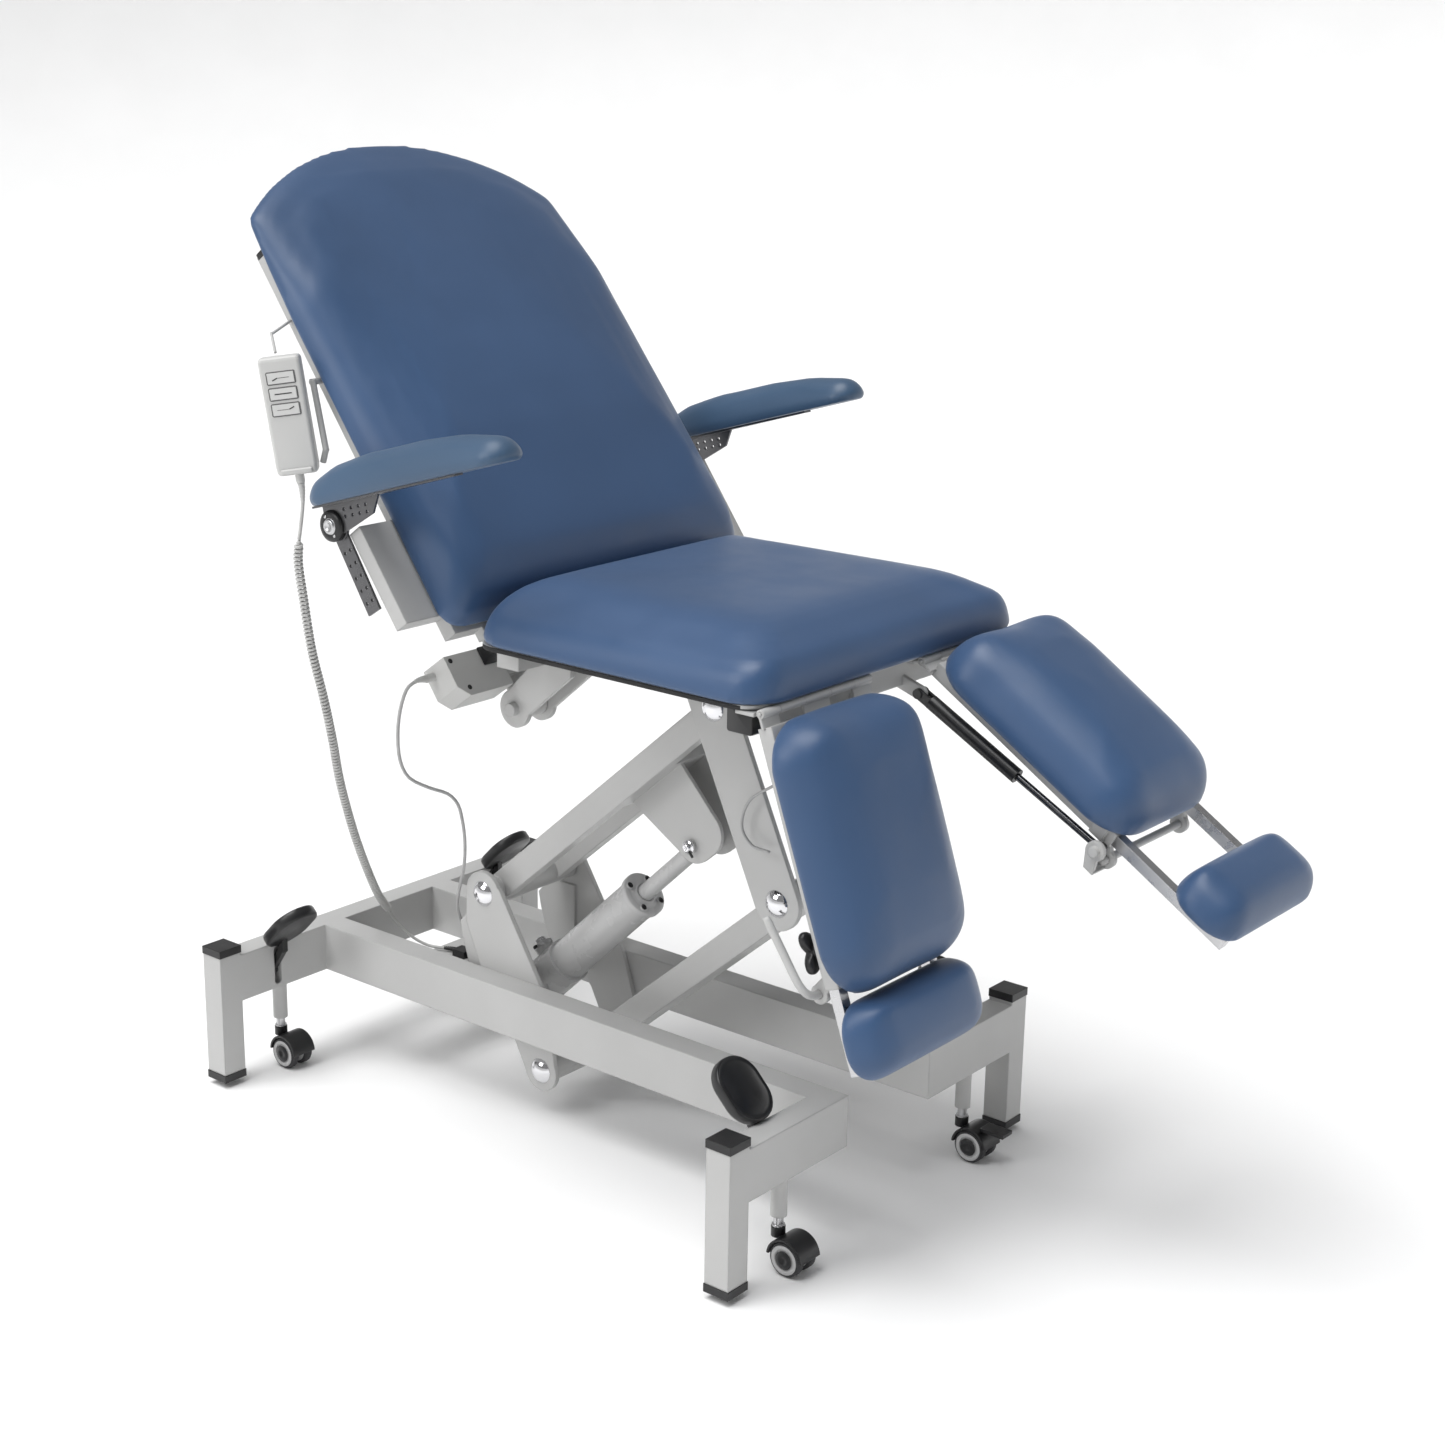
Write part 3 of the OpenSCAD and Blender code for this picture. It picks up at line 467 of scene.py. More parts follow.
LEAD = [(-273.5, -341.5, 975), (-272.5, -341, 965), (-271, -342, 945), (-271, -346, 920), (-272, -350, 896)]
COIL = [
    (-272, -350, 895), (-280, -346, 860), (-284, -335, 804), (-290, -318, 727), (-299, -290, 645),
    (-315, -262, 574), (-338, -230, 499), (-365, -185, 411), (-390, -140, 336), (-420, -85, 258),
    (-440, -42, 212),
]
TAIL = [
    (-441, -41, 211), (-446, -30, 196), (-442, -14, 174), (-428, 0, 154), (-410, 14, 142),
    (-392, 26, 139), (-377, 33, 139), (-364.5, 35, 139),
]
MOTOR = [
    (-106.3, -269.4, 708), (-106.5, -280, 709), (-107.5, -291, 707), (-112, -302, 697),
    (-118, -309, 668), (-125, -308, 630), (-130, -300, 590), (-128, -285, 561), (-120, -255, 541),
    (-112, -225, 526), (-112, -205, 505), (-124, -185, 474), (-145, -160, 437), (-170, -135, 398),
    (-195, -114, 360), (-218, -100, 322), (-240, -84, 280), (-256, -55, 232), (-276, -20, 186),
    (-298, 6, 158), (-318, 26, 143), (-337.4, 35, 139),
]
CORD_R = 0.0025
COIL_R = 0.0048
COIL_WIRE_R = 0.0022
COIL_PITCH = 0.0062
COIL_TURN_POINTS = 14


def helix(route):
    """Curly cord wound round the route, with its ends drawn in to the line of the route."""
    line = smooth_path([at(*p) for p in route], 24)
    total = path_length(line)
    turns = round(total / COIL_PITCH)
    count = turns * COIL_TURN_POINTS
    lengths = [0.0]
    for a, b in zip(line, line[1:]):
        lengths.append(lengths[-1] + (b - a).length)
    xs = np.array([tuple(p) for p in line])
    where = np.linspace(0, total, count + 1)
    centre = np.stack([np.interp(where, lengths, xs[:, i]) for i in range(3)], 1)
    side = Vector((0, 1, 0))
    out = []
    for k in range(count + 1):
        t = Vector(centre[min(k + 1, count)] - centre[max(k - 1, 0)]).normalized()
        side = (side - t * side.dot(t)).normalized()
        other = t.cross(side)
        a = 2 * math.pi * k / COIL_TURN_POINTS
        ease = min(1.0, k / (1.5 * COIL_TURN_POINTS), (count - k) / (1.5 * COIL_TURN_POINTS))
        r = COIL_R * ease * ease * (3 - 2 * ease)
        out.append(Vector(centre[k]) + (side * math.cos(a) + other * math.sin(a)) * r)
    return out


def cord_piece(name, points, radius, finish, node, keep=None):
    """A round cord along points, riding on the base in place of node; with keep, the piece gets its own copy
    of its mesh.
    """
    bm = bmesh.new()
    add_tube(bm, points, radius, 10)
    obj = piece(name, bm, Matrix.Identity(4), "base", [finish], replaced=(node,))
    if keep:
        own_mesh(obj)


lead_points = smooth_path([at(*p) for p in LEAD], 6)
coil_points = helix(COIL)
tail_points = smooth_path([at(*p) for p in TAIL], 5)
motor_points = smooth_path([at(*p) for p in MOTOR], 3)
cord_piece("handset_lead_cord", lead_points, CORD_R, "cord", "handset_lead", 0.6)
cord_piece("handset_curly_cord", coil_points, COIL_WIRE_R, "cord", "handset_coil", 0.6)
cord_piece("handset_tail_cord", tail_points, CORD_R, "cord", "handset_tail")
cord_piece("motor_lead_cord", motor_points, CORD_R, "wire", "motor_cable", 0.47)

# Strain reliefs: ribbed sleeves where a cord leaves its housing


RIB = 0.0004


def strain_relief(name, path, start_r, body, finish, ribs=6):
    bm = bmesh.new()
    count = len(path)
    radii = []
    for k in range(count):
        t = k / (count - 1)
        groove = RIB if int(t * ribs * 2) % 2 else 0.0
        radii.append(start_r * (1 - t) + (CORD_R + RIB) * t - groove)
    add_tube(bm, path, radii, 18)
    return piece(name, bm, Matrix.Identity(4), body, [finish])


def stretch(points, length, count=26):
    """Evenly spaced points over the first part of a path."""
    where = [0.0]
    for a, b in zip(points, points[1:]):
        where.append(where[-1] + (b - a).length)
    xs = np.array([tuple(p) for p in points])
    s = np.linspace(0, length, count)
    return [Vector([float(np.interp(v, where, xs[:, i])) for i in range(3)]) for v in s]


strain_relief("handset_strain_relief", stretch(lead_points, 0.028), 0.0052, "backrest", "handset")
strain_relief("motor_strain_relief", stretch(motor_points, 0.022), 0.0056, "back_actuator", "cord")
strain_relief("socket_relief_tail", stretch(tail_points[::-1], 0.024), 0.005, "base", "black")
strain_relief("socket_relief_motor", stretch(motor_points[::-1], 0.024), 0.005, "base", "black")

# ---------------------------------------------------------------- pads


def nearest(points, outline):
    """Distance of each point from a closed outline."""
    a = np.array([tuple(p) for p in outline])
    step = np.roll(a, -1, 0) - a
    best = np.full(len(points), 1e9)
    for p, d in zip(a, step):
        t = np.clip(((points - p) @ d) / max(d @ d, 1e-9), 0, 1)
        best = np.minimum(best, np.linalg.norm(points - p - t[:, None] * d, axis=1))
    return best


def ease_out(x):
    """0 at x = 0, level at x = 1."""
    return 1 - (1 - np.clip(x, 0, 1)) ** 2


TUCK = 6.0
RING_SHARES = (1, 0.985, 0.96, 0.93, 0.89, 0.84, 0.78, 0.71, 0.63, 0.54, 0.44, 0.33, 0.2, 0)


def pad(name, node, body, axes, outline, base, rim, crown, voxel, cap, finish):
    """Upholstered pad in local axes: a crowned closed form over its outline, whose cover turns under
    at the rim. It is remeshed, blown out a little as foam does, and smoothed. Points on the board
    stay put."""
    bm = bmesh.new()
    flat = np.array([tuple(p) for p in outline])
    middle = flat.mean(0)
    rings = []
    inset = middle + (flat - middle) * (1 - TUCK / np.abs(flat - middle).max(1))[:, None]
    rings.append([bm.verts.new((x, y, base)) for x, y in inset])
    for share in RING_SHARES:
        at_ring = middle + (flat - middle) * share if share else middle[None]
        d = nearest(at_ring, outline)
        lift = np.sqrt(1 - (1 - np.clip(d / rim, 0, 1)) ** 2)
        z = base + TUCK + (crown(at_ring[:, 0], at_ring[:, 1]) - TUCK) * lift
        rings.append([bm.verts.new((x, y, h)) for (x, y), h in zip(at_ring, z)])
    count = len(flat)
    for low, high in zip(rings, rings[1:]):
        for k in range(count):
            n = (k + 1) % count
            corners = [low[k], low[n], high[n % len(high)], high[k % len(high)]]
            bm.faces.new(list(dict.fromkeys(corners)))
    bm.faces.new(list(reversed(rings[0])))
    obj = piece(name, bm, Matrix.Diagonal((0.001, 0.001, 0.001, 1)), None, [finish])
    remesh = obj.modifiers.new("remesh", "REMESH")
    remesh.mode = "VOXEL"
    remesh.voxel_size = voxel
    apply_modifiers(obj)
    co = np.zeros(len(obj.data.vertices) * 3)
    obj.data.vertices.foreach_get("co", co)
    free = np.clip((co[2::3] * 1000 - base - 1) / 5, 0, 1)
    loose = obj.vertex_groups.new(name="loose")
    held = obj.vertex_groups.new(name="held")
    for k, w in enumerate(free):
        loose.add([k], float(w), "REPLACE")
        held.add([k], float(1 - w), "REPLACE")
    blow_up(obj, cap)
    smooth = obj.modifiers.new("fair", "SMOOTH")
    smooth.factor = 0.5
    smooth.iterations = 10
    smooth.vertex_group = "loose"
    subdivide = obj.modifiers.new("subdivide", "SUBSURF")
    subdivide.levels = 1
    subdivide.render_levels = 1
    apply_modifiers(obj)
    obj.data.transform(axes @ Matrix.Diagonal((1000, 1000, 1000, 1)))
    obj.data.shade_smooth()
    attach(obj, body)
    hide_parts(node)
    return obj


def apply_modifiers(obj):
    graph = bpy.context.evaluated_depsgraph_get()
    shown = obj.evaluated_get(graph)
    mesh = bpy.data.meshes.new_from_object(shown, preserve_all_data_layers=True, depsgraph=graph)
    old = obj.data
    obj.modifiers.clear()
    obj.data = mesh
    if old.users == 0:
        bpy.data.meshes.remove(old)


def blow_up(obj, cap):
    """Cloth with pressure; no point moves further than cap."""
    start = np.zeros(len(obj.data.vertices) * 3)
    obj.data.vertices.foreach_get("co", start)
    cloth = obj.modifiers.new("cloth", "CLOTH")
    cloth.settings.quality = 4
    cloth.settings.use_pressure = True
    cloth.settings.uniform_pressure_force = 4
    cloth.settings.vertex_group_mass = "held"
    cloth.settings.effector_weights.gravity = 0
    cloth.collision_settings.use_collision = False
    for k in range(1, 21):
        scene.frame_set(k)
    graph = bpy.context.evaluated_depsgraph_get()
    moved = np.zeros_like(start)
    obj.evaluated_get(graph).data.vertices.foreach_get("co", moved)
    obj.modifiers.clear()
    step = (moved - start).reshape(-1, 3)
    edges = np.zeros(len(obj.data.edges) * 2, dtype=np.int64)
    obj.data.edges.foreach_get("vertices", edges)
    a, b = edges[::2], edges[1::2]
    links = np.bincount(np.concatenate([a, b]), minlength=len(step))[:, None]
    for _ in range(40):
        total = np.zeros_like(step)
        np.add.at(total, a, step[b])
        np.add.at(total, b, step[a])
        step = 0.4 * step + 0.6 * total / np.maximum(links, 1)
    size = np.linalg.norm(step, axis=1, keepdims=True)
    step *= np.minimum(1.0, cap / np.maximum(size, 1e-9))
    obj.data.vertices.foreach_set("co", start + step.ravel())
    obj.data.update()
    scene.frame_set(1)


def table(*pairs):
    """Straight-line look-up through (where, value) pairs."""
    xs, ys = zip(*pairs)
    return lambda x: np.interp(x, xs, ys)


def barrel(outline, middle, width, bulge, centre=0.0):
    """Swells an outline sideways about centre, most at middle along it and none width away."""
    out = []
    for x, y in outline:
        swell = bulge * (1 - ((x - middle) / width) ** 2)
        out.append(Vector((x, y + math.copysign(swell, y - centre))))
    return out


HALF = 308
seat_edge = table((4, 26), (300, 34), (500, 43))


def seat_crown(x, y):
    across = ease_out((HALF - np.abs(y)) / 140)
    lengthways = ease_out((522 - x) / 115) * ease_out((x + 14) / 60)
    edge = seat_edge(x) + 12 * np.clip((x - 300) / 200, 0, 1) * (1 - (y / HALF) ** 2)
    return edge + (82 - edge) * across * lengthways


back_height = table((5, 50), (70, 72), (280, 78), (390, 70), (510, 57), (630, 42), (720, 27), (786, 12))
back_edge = table((5, 34), (90, 58), (300, 62), (420, 56), (540, 40), (660, 20), (786, 8))
back_reach = table((5, 70), (400, 90), (600, 150), (786, 190))


def back_crown(s, y):
    across = ease_out((318 - np.abs(y)) / back_reach(s))
    edge = back_edge(s)
    return edge + (back_height(s) - edge) * across * ease_out((s + 10) / 60)


leg_height = table((18, 64), (60, 76), (110, 79), (172, 83), (250, 79), (320, 67), (369, 50))


def leg_crown(s, y):
    across = ease_out((141 - np.abs(y - 177.5)) / 80)
    lengthways = ease_out((s - 4) / 45) * ease_out((380 - s) / 60)
    return 36 + (leg_height(s) - 36) * across * lengthways


def foot_crown(start):
    def crown(s, y):
        across = ease_out((134 - np.abs(y - 177.5)) / 55)
        lengthways = ease_out((s - start + 12) / 30) * ease_out((start + 109 - s) / 50)
        return 28 + 26 * across * lengthways
    return crown


arm_height = table((0, 24), (20, 36), (60, 49), (130, 56), (230, 56), (310, 48), (370, 35), (392, 24))


def arm_crown(u, y):
    across = ease_out((36 - np.abs(y - 370)) / 36)
    h = arm_height(u)
    return 0.5 * h + 0.5 * h * across


# Backrest outline: rounded foot, sides swelling a little, arched top with soft shoulders
ARCH_R, ARCH_CENTRE, ARCH_HALF_TURN, ARCH_STEPS = 450, 336, 43, 24
SHOULDER_START = 560
arch = []
for k in range(-ARCH_STEPS, ARCH_STEPS + 1):
    a = math.radians(k * ARCH_HALF_TURN / ARCH_STEPS)
    arch.append((ARCH_CENTRE + ARCH_R * math.cos(a), ARCH_R * math.sin(a)))
back_outline = rounded([(5, -HALF), *arch, (5, HALF)], 36, 8)
for _ in range(20):
    before, after = back_outline[-1:] + back_outline[:-1], back_outline[1:] + back_outline[:1]
    back_outline = [
        (a + 2 * b + c) / 4 if b.x > SHOULDER_START else b
        for a, b, c in zip(before, back_outline, after)
    ]
back_outline = barrel(back_outline, 320, 470, 15)

LEG_MIDDLE = 177.5
FOOT_SHIFT = {"l": 0, "r": 80}
pad(
    "seat_cushion", "seat_pad", "seat", WORLD, rect(4, 522, -HALF, HALF, 58, 12), 787, 24,
    seat_crown, 0.006, 0.005, "vinyl",
)
pad(
    "backrest_cushion", "backrest_pad", "backrest", BACK, back_outline, -20, 34,
    back_crown, 0.006, 0.005, "vinyl",
)
for leg in SIDES:
    axes = leg_axes(leg)
    outline = barrel(rect(14, 373, 46, 309, 62, 12), 180, 195, 9, LEG_MIDDLE)
    pad(
        f"leg_cushion_{leg}", f"leg_pad_{leg}", f"leg_{leg}", axes, outline, 10, 26,
        leg_crown, 0.0055, 0.006, "vinyl",
    )
    start = 376 + FOOT_SHIFT[leg]
    outline = rect(start - 1, start + 104, 43, HALF + 4, 44, 10)
    pad(
        f"foot_cushion_{leg}", f"foot_pad_{leg}", f"foot_{leg}", axes, outline, 10, 20,
        foot_crown(start), 0.0045, 0.004, "vinyl",
    )
    outline = rect(2, 392, 334, 406, 34, 10)
    pad(
        f"arm_cushion_{leg}", f"armrest_pad_{leg}", f"arm_{leg}", arm_axes(leg), outline, 0, 15,
        arm_crown, 0.004, 0.003, "arm_vinyl",
    )

# ---------------------------------------------------------------- castors
CORNERS = ("hl", "hr", "fl", "fr")
RIM, HUB, TREAD = 0, 1, 2


def wheel_profile(radius, inner, outer):
    """One wheel of a twin: tread, stepped rim face and raised hub."""
    return [
        (0, inner, RIM), (radius - 5, inner, RIM), (radius - 1.5, inner + 1, TREAD),
        (radius, inner + 3, TREAD), (radius, outer - 3, TREAD), (radius - 1.5, outer - 1, TREAD),
        (radius - 4, outer, TREAD), (radius - 4.6, outer - 0.8, RIM), (radius - 5.4, outer - 0.3, RIM),
        (radius - 12, outer + 0.4, RIM), (15, outer - 0.4, RIM), (14.4, outer - 1.2, RIM),
        (13.8, outer - 0.6, HUB), (13, outer + 0.9, HUB), (8, outer + 1.5, HUB), (4.5, outer + 1.4, HUB),
        (4, outer + 0.6, HUB), (0, outer + 0.5, HUB),
    ]


for corner in CORNERS:
    node = f"castor_wheels_{corner}"
    lo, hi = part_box(node)
    size = hi - lo
    radius, half = size.z * 500, size.y * 500
    m = Matrix.Translation((lo + hi) / 2) @ Matrix.Diagonal((0.001, 0.001, 0.001, 1))
    bm = bmesh.new()
    for side in (-1, 1):
        add_lathe(bm, wheel_profile(radius, half - 16.5, half - 1.5), pose_z((0, 0, 0), (0, side, 0)), 48)
    axle = half - 10
    axle_profile = [(0, -axle, HUB), (4, -axle, HUB), (4, axle, HUB), (0, axle, HUB)]
    add_lathe(bm, axle_profile, pose_z((0, 0, 0), (0, 1, 0)), 20)
    piece(
        f"castor_wheel_set_{corner}", bm, m, f"castor_roll_{corner}", ["rim", "black", "rubber"],
        replaced=(node,),
    )

# ---------------------------------------------------------------- small parts
# Black end caps on the tube under the seat's front edge
for side in (-1, 1):
    bm = bmesh.new()
    axes = Matrix.Translation((460, 0, 762)) @ Matrix.Rotation(math.radians(-90), 4, "X")
    outline = rect(-20.8, 20.8, -20.6, 20.6, 4)
    lo, hi = (228, 271) if side > 0 else (-271, -228)
    slab(bm, outline, lo, hi, 1.2, 0, axes)
    piece(f"front_tube_cap_{'l' if side < 0 else 'r'}", bm, WORLD, "seat", ["black"])

# Plugs in the top ends of the backrest's side tubes
for side in (-1, 1):
    bm = bmesh.new()
    axes = Matrix.Translation((620, side * 276, -37.5)) @ Matrix.Rotation(math.radians(90), 4, "Y")
    slab(bm, rect(-12.9, 12.9, -14.4, 14.4, 3), -2, 9, 1.5, 0, axes)
    piece(f"backrest_tube_plug_{'l' if side < 0 else 'r'}", bm, BACK, "backrest", ["black"])

# Release handles: bent bar with a bare tip
RELEASE_BEND = [
    (362, 66, -31), (362, 120, -31), (362, 200, -31), (362, 262, -31), (361, 284, -31.3), (356, 297, -32.5),
    (345, 304, -35), (330, 306, -39), (300, 306, -47), (270, 306, -55), (250, 306, -60.4),
]
for leg in SIDES:
    path = smooth_path(RELEASE_BEND, 5)
    bm = bmesh.new()
    count = len(path)
    add_tube(bm, path, [5.5 - 0.9 * max(0, (k - count + 3)) / 2 for k in range(count)], 16)
    for f in bm.faces:
        if len(f.verts) > 4 and f.calc_center_median().x < 300:
            f.material_index = 1
    piece(
        f"release_bar_{leg}", bm, leg_axes(leg), f"handle_{leg}", ["frame", "key"],
        replaced=(f"release_handle_{leg}",),
    )

# Clamp knobs with three lobes, and the collar under each
KNOB = (306, 276)
KNOB_LAYERS = (
    (0.25, -31), (0.55, -30.7), (0.85, -29.5), (0.97, -27.5), (1.0, -25), (1.0, -21), (0.95, -18.5),
    (0.8, -17.2), (0.3, -16.8),
)
KNOB_COLLAR = [(0, -16.5, 0), (11, -16.5, 0), (10.5, -12.6, 0), (4, -12.6, 0), (4, -9.6, 0), (0, -9.6, 0)]
KNOB_STEPS = 72
for leg in SIDES:
    bm = bmesh.new()
    rings = []
    for share, h in KNOB_LAYERS:
        ring = []
        for k in range(KNOB_STEPS):
            a = 2 * math.pi * k / KNOB_STEPS
            r = 20.5 + 10 * math.cos(3 * (a - math.radians(30)))
            r = r * share if share > 0.5 else 13 * share / 0.5
            ring.append(bm.verts.new((KNOB[0] + r * math.cos(a), KNOB[1] + r * math.sin(a), h)))
        rings.append(ring)
    skin(bm, rings)
    add_lathe(bm, KNOB_COLLAR, Matrix.Translation((*KNOB, 0)), 28)
    piece(
        f"clamp_knob_grip_{leg}", bm, leg_axes(leg), f"knob_{leg}", ["black"],
        replaced=(f"clamp_knob_{leg}",),
    )

# Handset shell, with the lip at the cord end, the cord collar and a dark rim round each key, painted shade
# of the recess it sits in
HAND_W, HAND_T = 29, 12.5
KEY_FIRST, KEY_STEP = -54, 22
SHELL_LAYERS = (
    (5.0, -82.5), (2.2, -81.6), (0.7, -79.6), (0, -76.5), (0, 70), (0.9, 78), (3.0, 81.6), (6.0, 82.5),
)
bm = bmesh.new()
outline = rect(-HAND_W, HAND_W, -HAND_T, HAND_T, 5, 5)
rings = []
for inset, h in SHELL_LAYERS:
    fx, fy = (HAND_W - inset) / HAND_W, (HAND_T - inset) / HAND_T
    rings.append([bm.verts.new((p[0] * fx, p[1] * fy, h)) for p in outline])
skin(bm, rings)
slab(bm, rect(-22, 22, -6.5, 3, 2), 73, 81, 1.5, 0, Matrix.Translation((0, -9, 0)))
add_lathe(bm, [(6.4, 80, 0), (6.4, 92, 0), (5.6, 95.5, 0), (3, 95.5, 0)], None, 28)


def key_face(k, y):
    """Axes on the handset's front at key k, Z outwards."""
    return Matrix.Translation((0, y, KEY_FIRST + KEY_STEP * k)) @ Matrix.Rotation(math.radians(90), 4, "X")


# The dark rims round the keys are painted shade on a thin plate, not a cut recess.
for k in range(3):
    slab(bm, rect(-20.4, 20.4, -9.2, 9.2, 2.5), 0, 1.0, 0.3, 1, key_face(k, -12.1))
piece(
    "handset_shell", bm, HAND, "backrest", ["handset", "groove"], smooth=False,
    replaced=("handset",),
)

# Symbols on the keys: a couch in outline, with the part that the key moves drawn thicker
KEY_FACE = -13.9
KEY_MARKS = (
    (((-12, 3), (-5, 0), 0.8), ((-5, 0), (12, 0), 0.3)),
    (((-12, 0), (-4, 0), 0.8), ((-4, 0), (4, 0), 0.8), ((4, 0), (12, 0), 0.8)),
    (((-12, 0), (5, 0), 0.3), ((5, 0), (12, -3), 0.8)),
)
for k, strokes in enumerate(KEY_MARKS):
    bm = bmesh.new()
    for (x0, y0), (x1, y1), half in strokes:
        start, end = Vector((x0, y0)), Vector((x1, y1))
        line = (end - start).normalized()
        off = Vector((-line.y, line.x)) * half
        slab(bm, [start - off, end - off, end + off, start + off], 0, 0.4, 0.1, 0, key_face(k, KEY_FACE))
    piece(f"key_mark_{k + 1}", bm, HAND, f"key_{k + 1}", ["mark"], smooth=False)

# Moulded pads on the castor pedals, domed inside a raised rim
PEDAL_X, PEDAL_Z = 451, 237
PEDAL_LAYERS = (
    (0.9, -7), (0.97, -6), (1.0, -3), (1.0, 6), (0.985, 9), (0.955, 10.4), (0.92, 10), (0.89, 9.2),
    (0.8, 10.6), (0.6, 13), (0.35, 14.6), (0.12, 15),
)
for corner in CORNERS:
    lo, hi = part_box(f"pedal_{corner}")
    across = (lo.y + hi.y) / 2
    end = -1 if corner[0] == "h" else 1
    tilt = Matrix.Rotation(math.radians(45 * end), 4, "Y")
    place = Matrix.Translation((end * PEDAL_X, across * 1000, PEDAL_Z)) @ tilt
    bm = bmesh.new()
    outline = rect(-48.5, 48.5, -38.5, 38.5, 36, 9)
    skin(bm, [[bm.verts.new((p[0] * share, p[1] * share, h)) for p in outline] for share, h in PEDAL_LAYERS])
    piece(f"pedal_cover_{corner}", bm, WORLD @ place, f"pedal_{corner}", ["black"])

# Hub discs of the armrest ratchets, each with a bolt and two detent marks
HUB_PROFILE = [
    (20.5, -11, 0), (21.6, -10, 0), (22.2, -6, 0), (21.4, -3.2, 0), (18, -1.6, 0), (12, -1.2, 0),
    (11.4, -1.6, 0), (10.6, -1.6, 1), (10.4, 0.6, 1), (9, 1.6, 1), (6, 1.7, 1), (5.6, 0.5, 1), (0, 0.5, 1),
]
for leg in SIDES:
    bm = bmesh.new()
    hub = pose_z((27, 384.2, -31), (0, 1, 0))
    add_lathe(bm, HUB_PROFILE, hub, 40)
    for a in (70, 250):
        spot = hub @ Matrix.Rotation(math.radians(a), 4, "Z") @ Matrix.Translation((15, 0, -1.9))
        add_lathe(bm, [(2.2, 0, 1), (2.0, 0.9, 1), (0, 1.1, 1)], spot, 16)
    piece(f"armrest_hub_{leg}", bm, arm_axes(leg), f"arm_{leg}", ["black", "rail"])

# Lift actuator: collar with four screws round the rod, and a plug with its clip on the gearbox
LIFT = along(-125, 168, 43.74)
COLLAR_PROFILE = [
    (35.4, -9, 0), (35.8, -8, 0), (35.8, 0, 0), (34.6, 1.4, 0), (27, 1.6, 0), (18.5, 1.6, 0),
    (17.6, 4.2, 0), (14, 4.4, 0), (13.4, 3, 0),
]
SCREW_PROFILE = [(5.4, 0, 0), (5.4, 2.4, 0), (4.8, 3, 0), (3.4, 3, 1), (3.2, 0.9, 1), (0, 0.8, 1)]
PLUG_PROFILE = [
    (15.6, 0, 0), (16, 1, 0), (16, 4.6, 0), (14.8, 6, 0), (9, 6.4, 0), (8.4, 13, 0), (6.4, 14.6, 0),
    (0, 14.8, 0),
]
bm = bmesh.new()
collar = pose_z((270, 0, 0), (1, 0, 0))
add_lathe(bm, COLLAR_PROFILE, collar, 48)
for k in range(4):
    turned = Matrix.Rotation(math.radians(45 + 90 * k), 4, "Z")
    add_lathe(bm, SCREW_PROFILE, collar @ turned @ Matrix.Translation((27.5, 0, 1.4)), 20)
piece("lift_actuator_collar", bm, LIFT, "lift_actuator", ["actuator", "black"])
bm = bmesh.new()
add_lathe(bm, PLUG_PROFILE, pose_z((26, 0, 43), (0, 0, 1)), 32)
slab(bm, rect(-4, 4, -19, 19, 2), 44, 49, 0.8, 1, Matrix.Translation((26, 0, 0)))
piece("lift_cable_plug", bm, LIFT, "lift_actuator", ["rail", "black"], smooth=False)

# Pin through the arm's gusset, with its washer and retaining clip
UPPER = along(-170.3, 322.3, 40.9)
STUD_PROFILE = [
    (10.4, -1, 0), (10.4, 1, 0), (9.8, 1.6, 0), (6.4, 1.6, 0), (6.4, 6, 0), (5.4, 7.4, 0), (2.6, 7.6, 0),
    (2.4, 6.6, 0), (0, 6.4, 0),
]
for side in (-1, 1):
    bm = bmesh.new()
    stud = pose_z((362, side * 37, -125), (0, side, 0))
    add_lathe(bm, STUD_PROFILE, stud, 32)
    slab(bm, rect(-2, 2, -17, -4, 1.4), 2.2, 4.6, 0.5, 1, stud)
    piece(f"rod_pin_end_{'l' if side < 0 else 'r'}", bm, UPPER, "upper_arm", ["chrome", "black"])

# Motor box: screws at its outer end and the black cover where it passes under the seat
MOTOR_BOX = along(-50, 650, 126.33)
SMALL_SCREW = [(3.8, -0.4, 0), (3.6, 0.6, 0), (2, 0.7, 0), (1.8, 0.1, 0), (0, 0, 0)]
bm = bmesh.new()
for u, y in ((86, -246), (42, -234)):
    add_lathe(bm, SMALL_SCREW, pose_z((u, y, -25), (0, 0, -1)), 20)
slab(bm, rect(67, 95, -190, -156, 2), -27.4, -24.8, 0.6)
piece("motor_box_details", bm, MOTOR_BOX, "back_actuator", ["black"])

# Black lining board under the seat pad
bm = bmesh.new()
slab(bm, rect(14, 497, -298, 298, 36, 8), 780.6, 786.8, 0.8)
piece("seat_lining_board", bm, WORLD, "seat", ["board"])

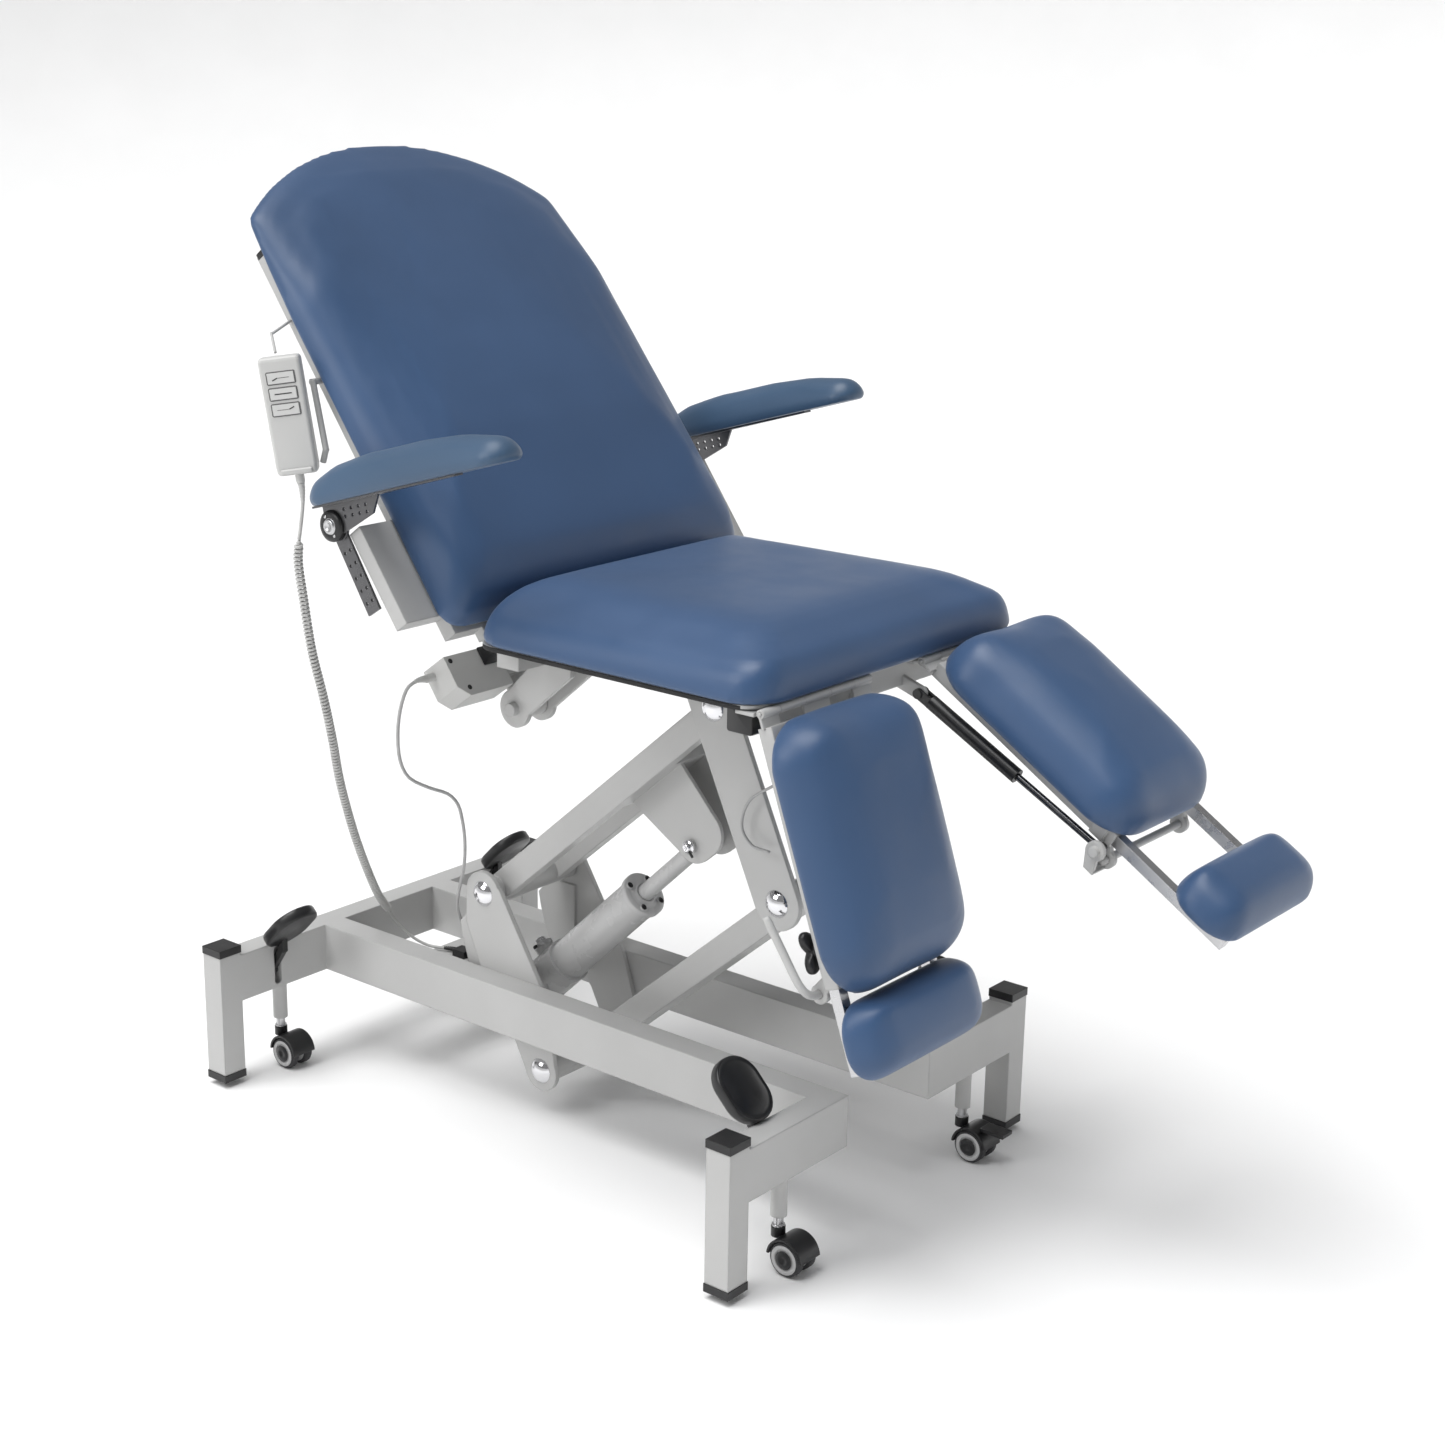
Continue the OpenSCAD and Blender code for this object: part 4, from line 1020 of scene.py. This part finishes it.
# Loop of thin cable at the lift actuator's top
LOOP = ((387, 617), (345, 586), (332, 547), (350, 523), (381, 520))
loop = smooth_path([at(x, -100, z) for x, z in LOOP], 10)
bm = bmesh.new()
add_tube(bm, loop, 0.0021, 12)
piece("cable_loop", bm, Matrix.Identity(4), "upper_arm", ["wire"])

# ---------------------------------------------------------------- floor and light
# A round floor that sweeps up into a low wall, the same from every side
FLOOR_R, SWEEP_R, SWEEP_STEPS = 6.5, 3.0, 24
sweep = [(0, -0.0002, 0), (FLOOR_R, -0.0002, 0)]
for k in range(1, SWEEP_STEPS + 1):
    a = math.pi / 2 * k / SWEEP_STEPS
    sweep.append((FLOOR_R + SWEEP_R * math.sin(a), SWEEP_R * (1 - math.cos(a)), 0))
bm = bmesh.new()
add_lathe(bm, sweep, None, 128)
floor_look = Look("studio_floor", 0.9)
clouds = floor_look.span(floor_look.noise(2), 0, 1)
floor_look.set("Base Color", floor_look.mix((0.9, 0.9, 0.9), (0.93, 0.93, 0.93), clouds))
looks["floor"] = floor_look
floor = piece("studio_floor", bm, Matrix.Identity(4), None, ["floor"])

world = bpy.data.worlds.new("studio")
scene.world = world
world.use_nodes = True
world.node_tree.nodes["Background"].inputs["Color"].default_value = (1, 1, 1, 1)
world.node_tree.nodes["Background"].inputs["Strength"].default_value = 0.26


def sun(name, energy, angle, direction):
    data = bpy.data.lights.new(name, "SUN")
    data.energy = energy
    data.angle = math.radians(angle)
    obj = bpy.data.objects.new(name, data)
    obj.rotation_mode = "QUATERNION"
    obj.rotation_quaternion = Vector(direction).to_track_quat("-Z", "Y")
    scene.collection.objects.link(obj)


def softbox(name, place, target, width, height, power):
    data = bpy.data.lights.new(name, "AREA")
    data.shape = "RECTANGLE"
    data.size, data.size_y, data.energy = width, height, power
    obj = bpy.data.objects.new(name, data)
    obj.location = place
    obj.rotation_mode = "QUATERNION"
    obj.rotation_quaternion = (Vector(target) - Vector(place)).to_track_quat("-Z", "Y")
    scene.collection.objects.link(obj)


sun("overhead", 2.75, 45, (0.1, 0.25, -1))
softbox("key", (-1.2, -3.0, 2.6), (0, 0, 0.7), 1.8, 1.4, 42)
scene.view_settings.view_transform = "Standard"
scene.view_settings.look = "None"
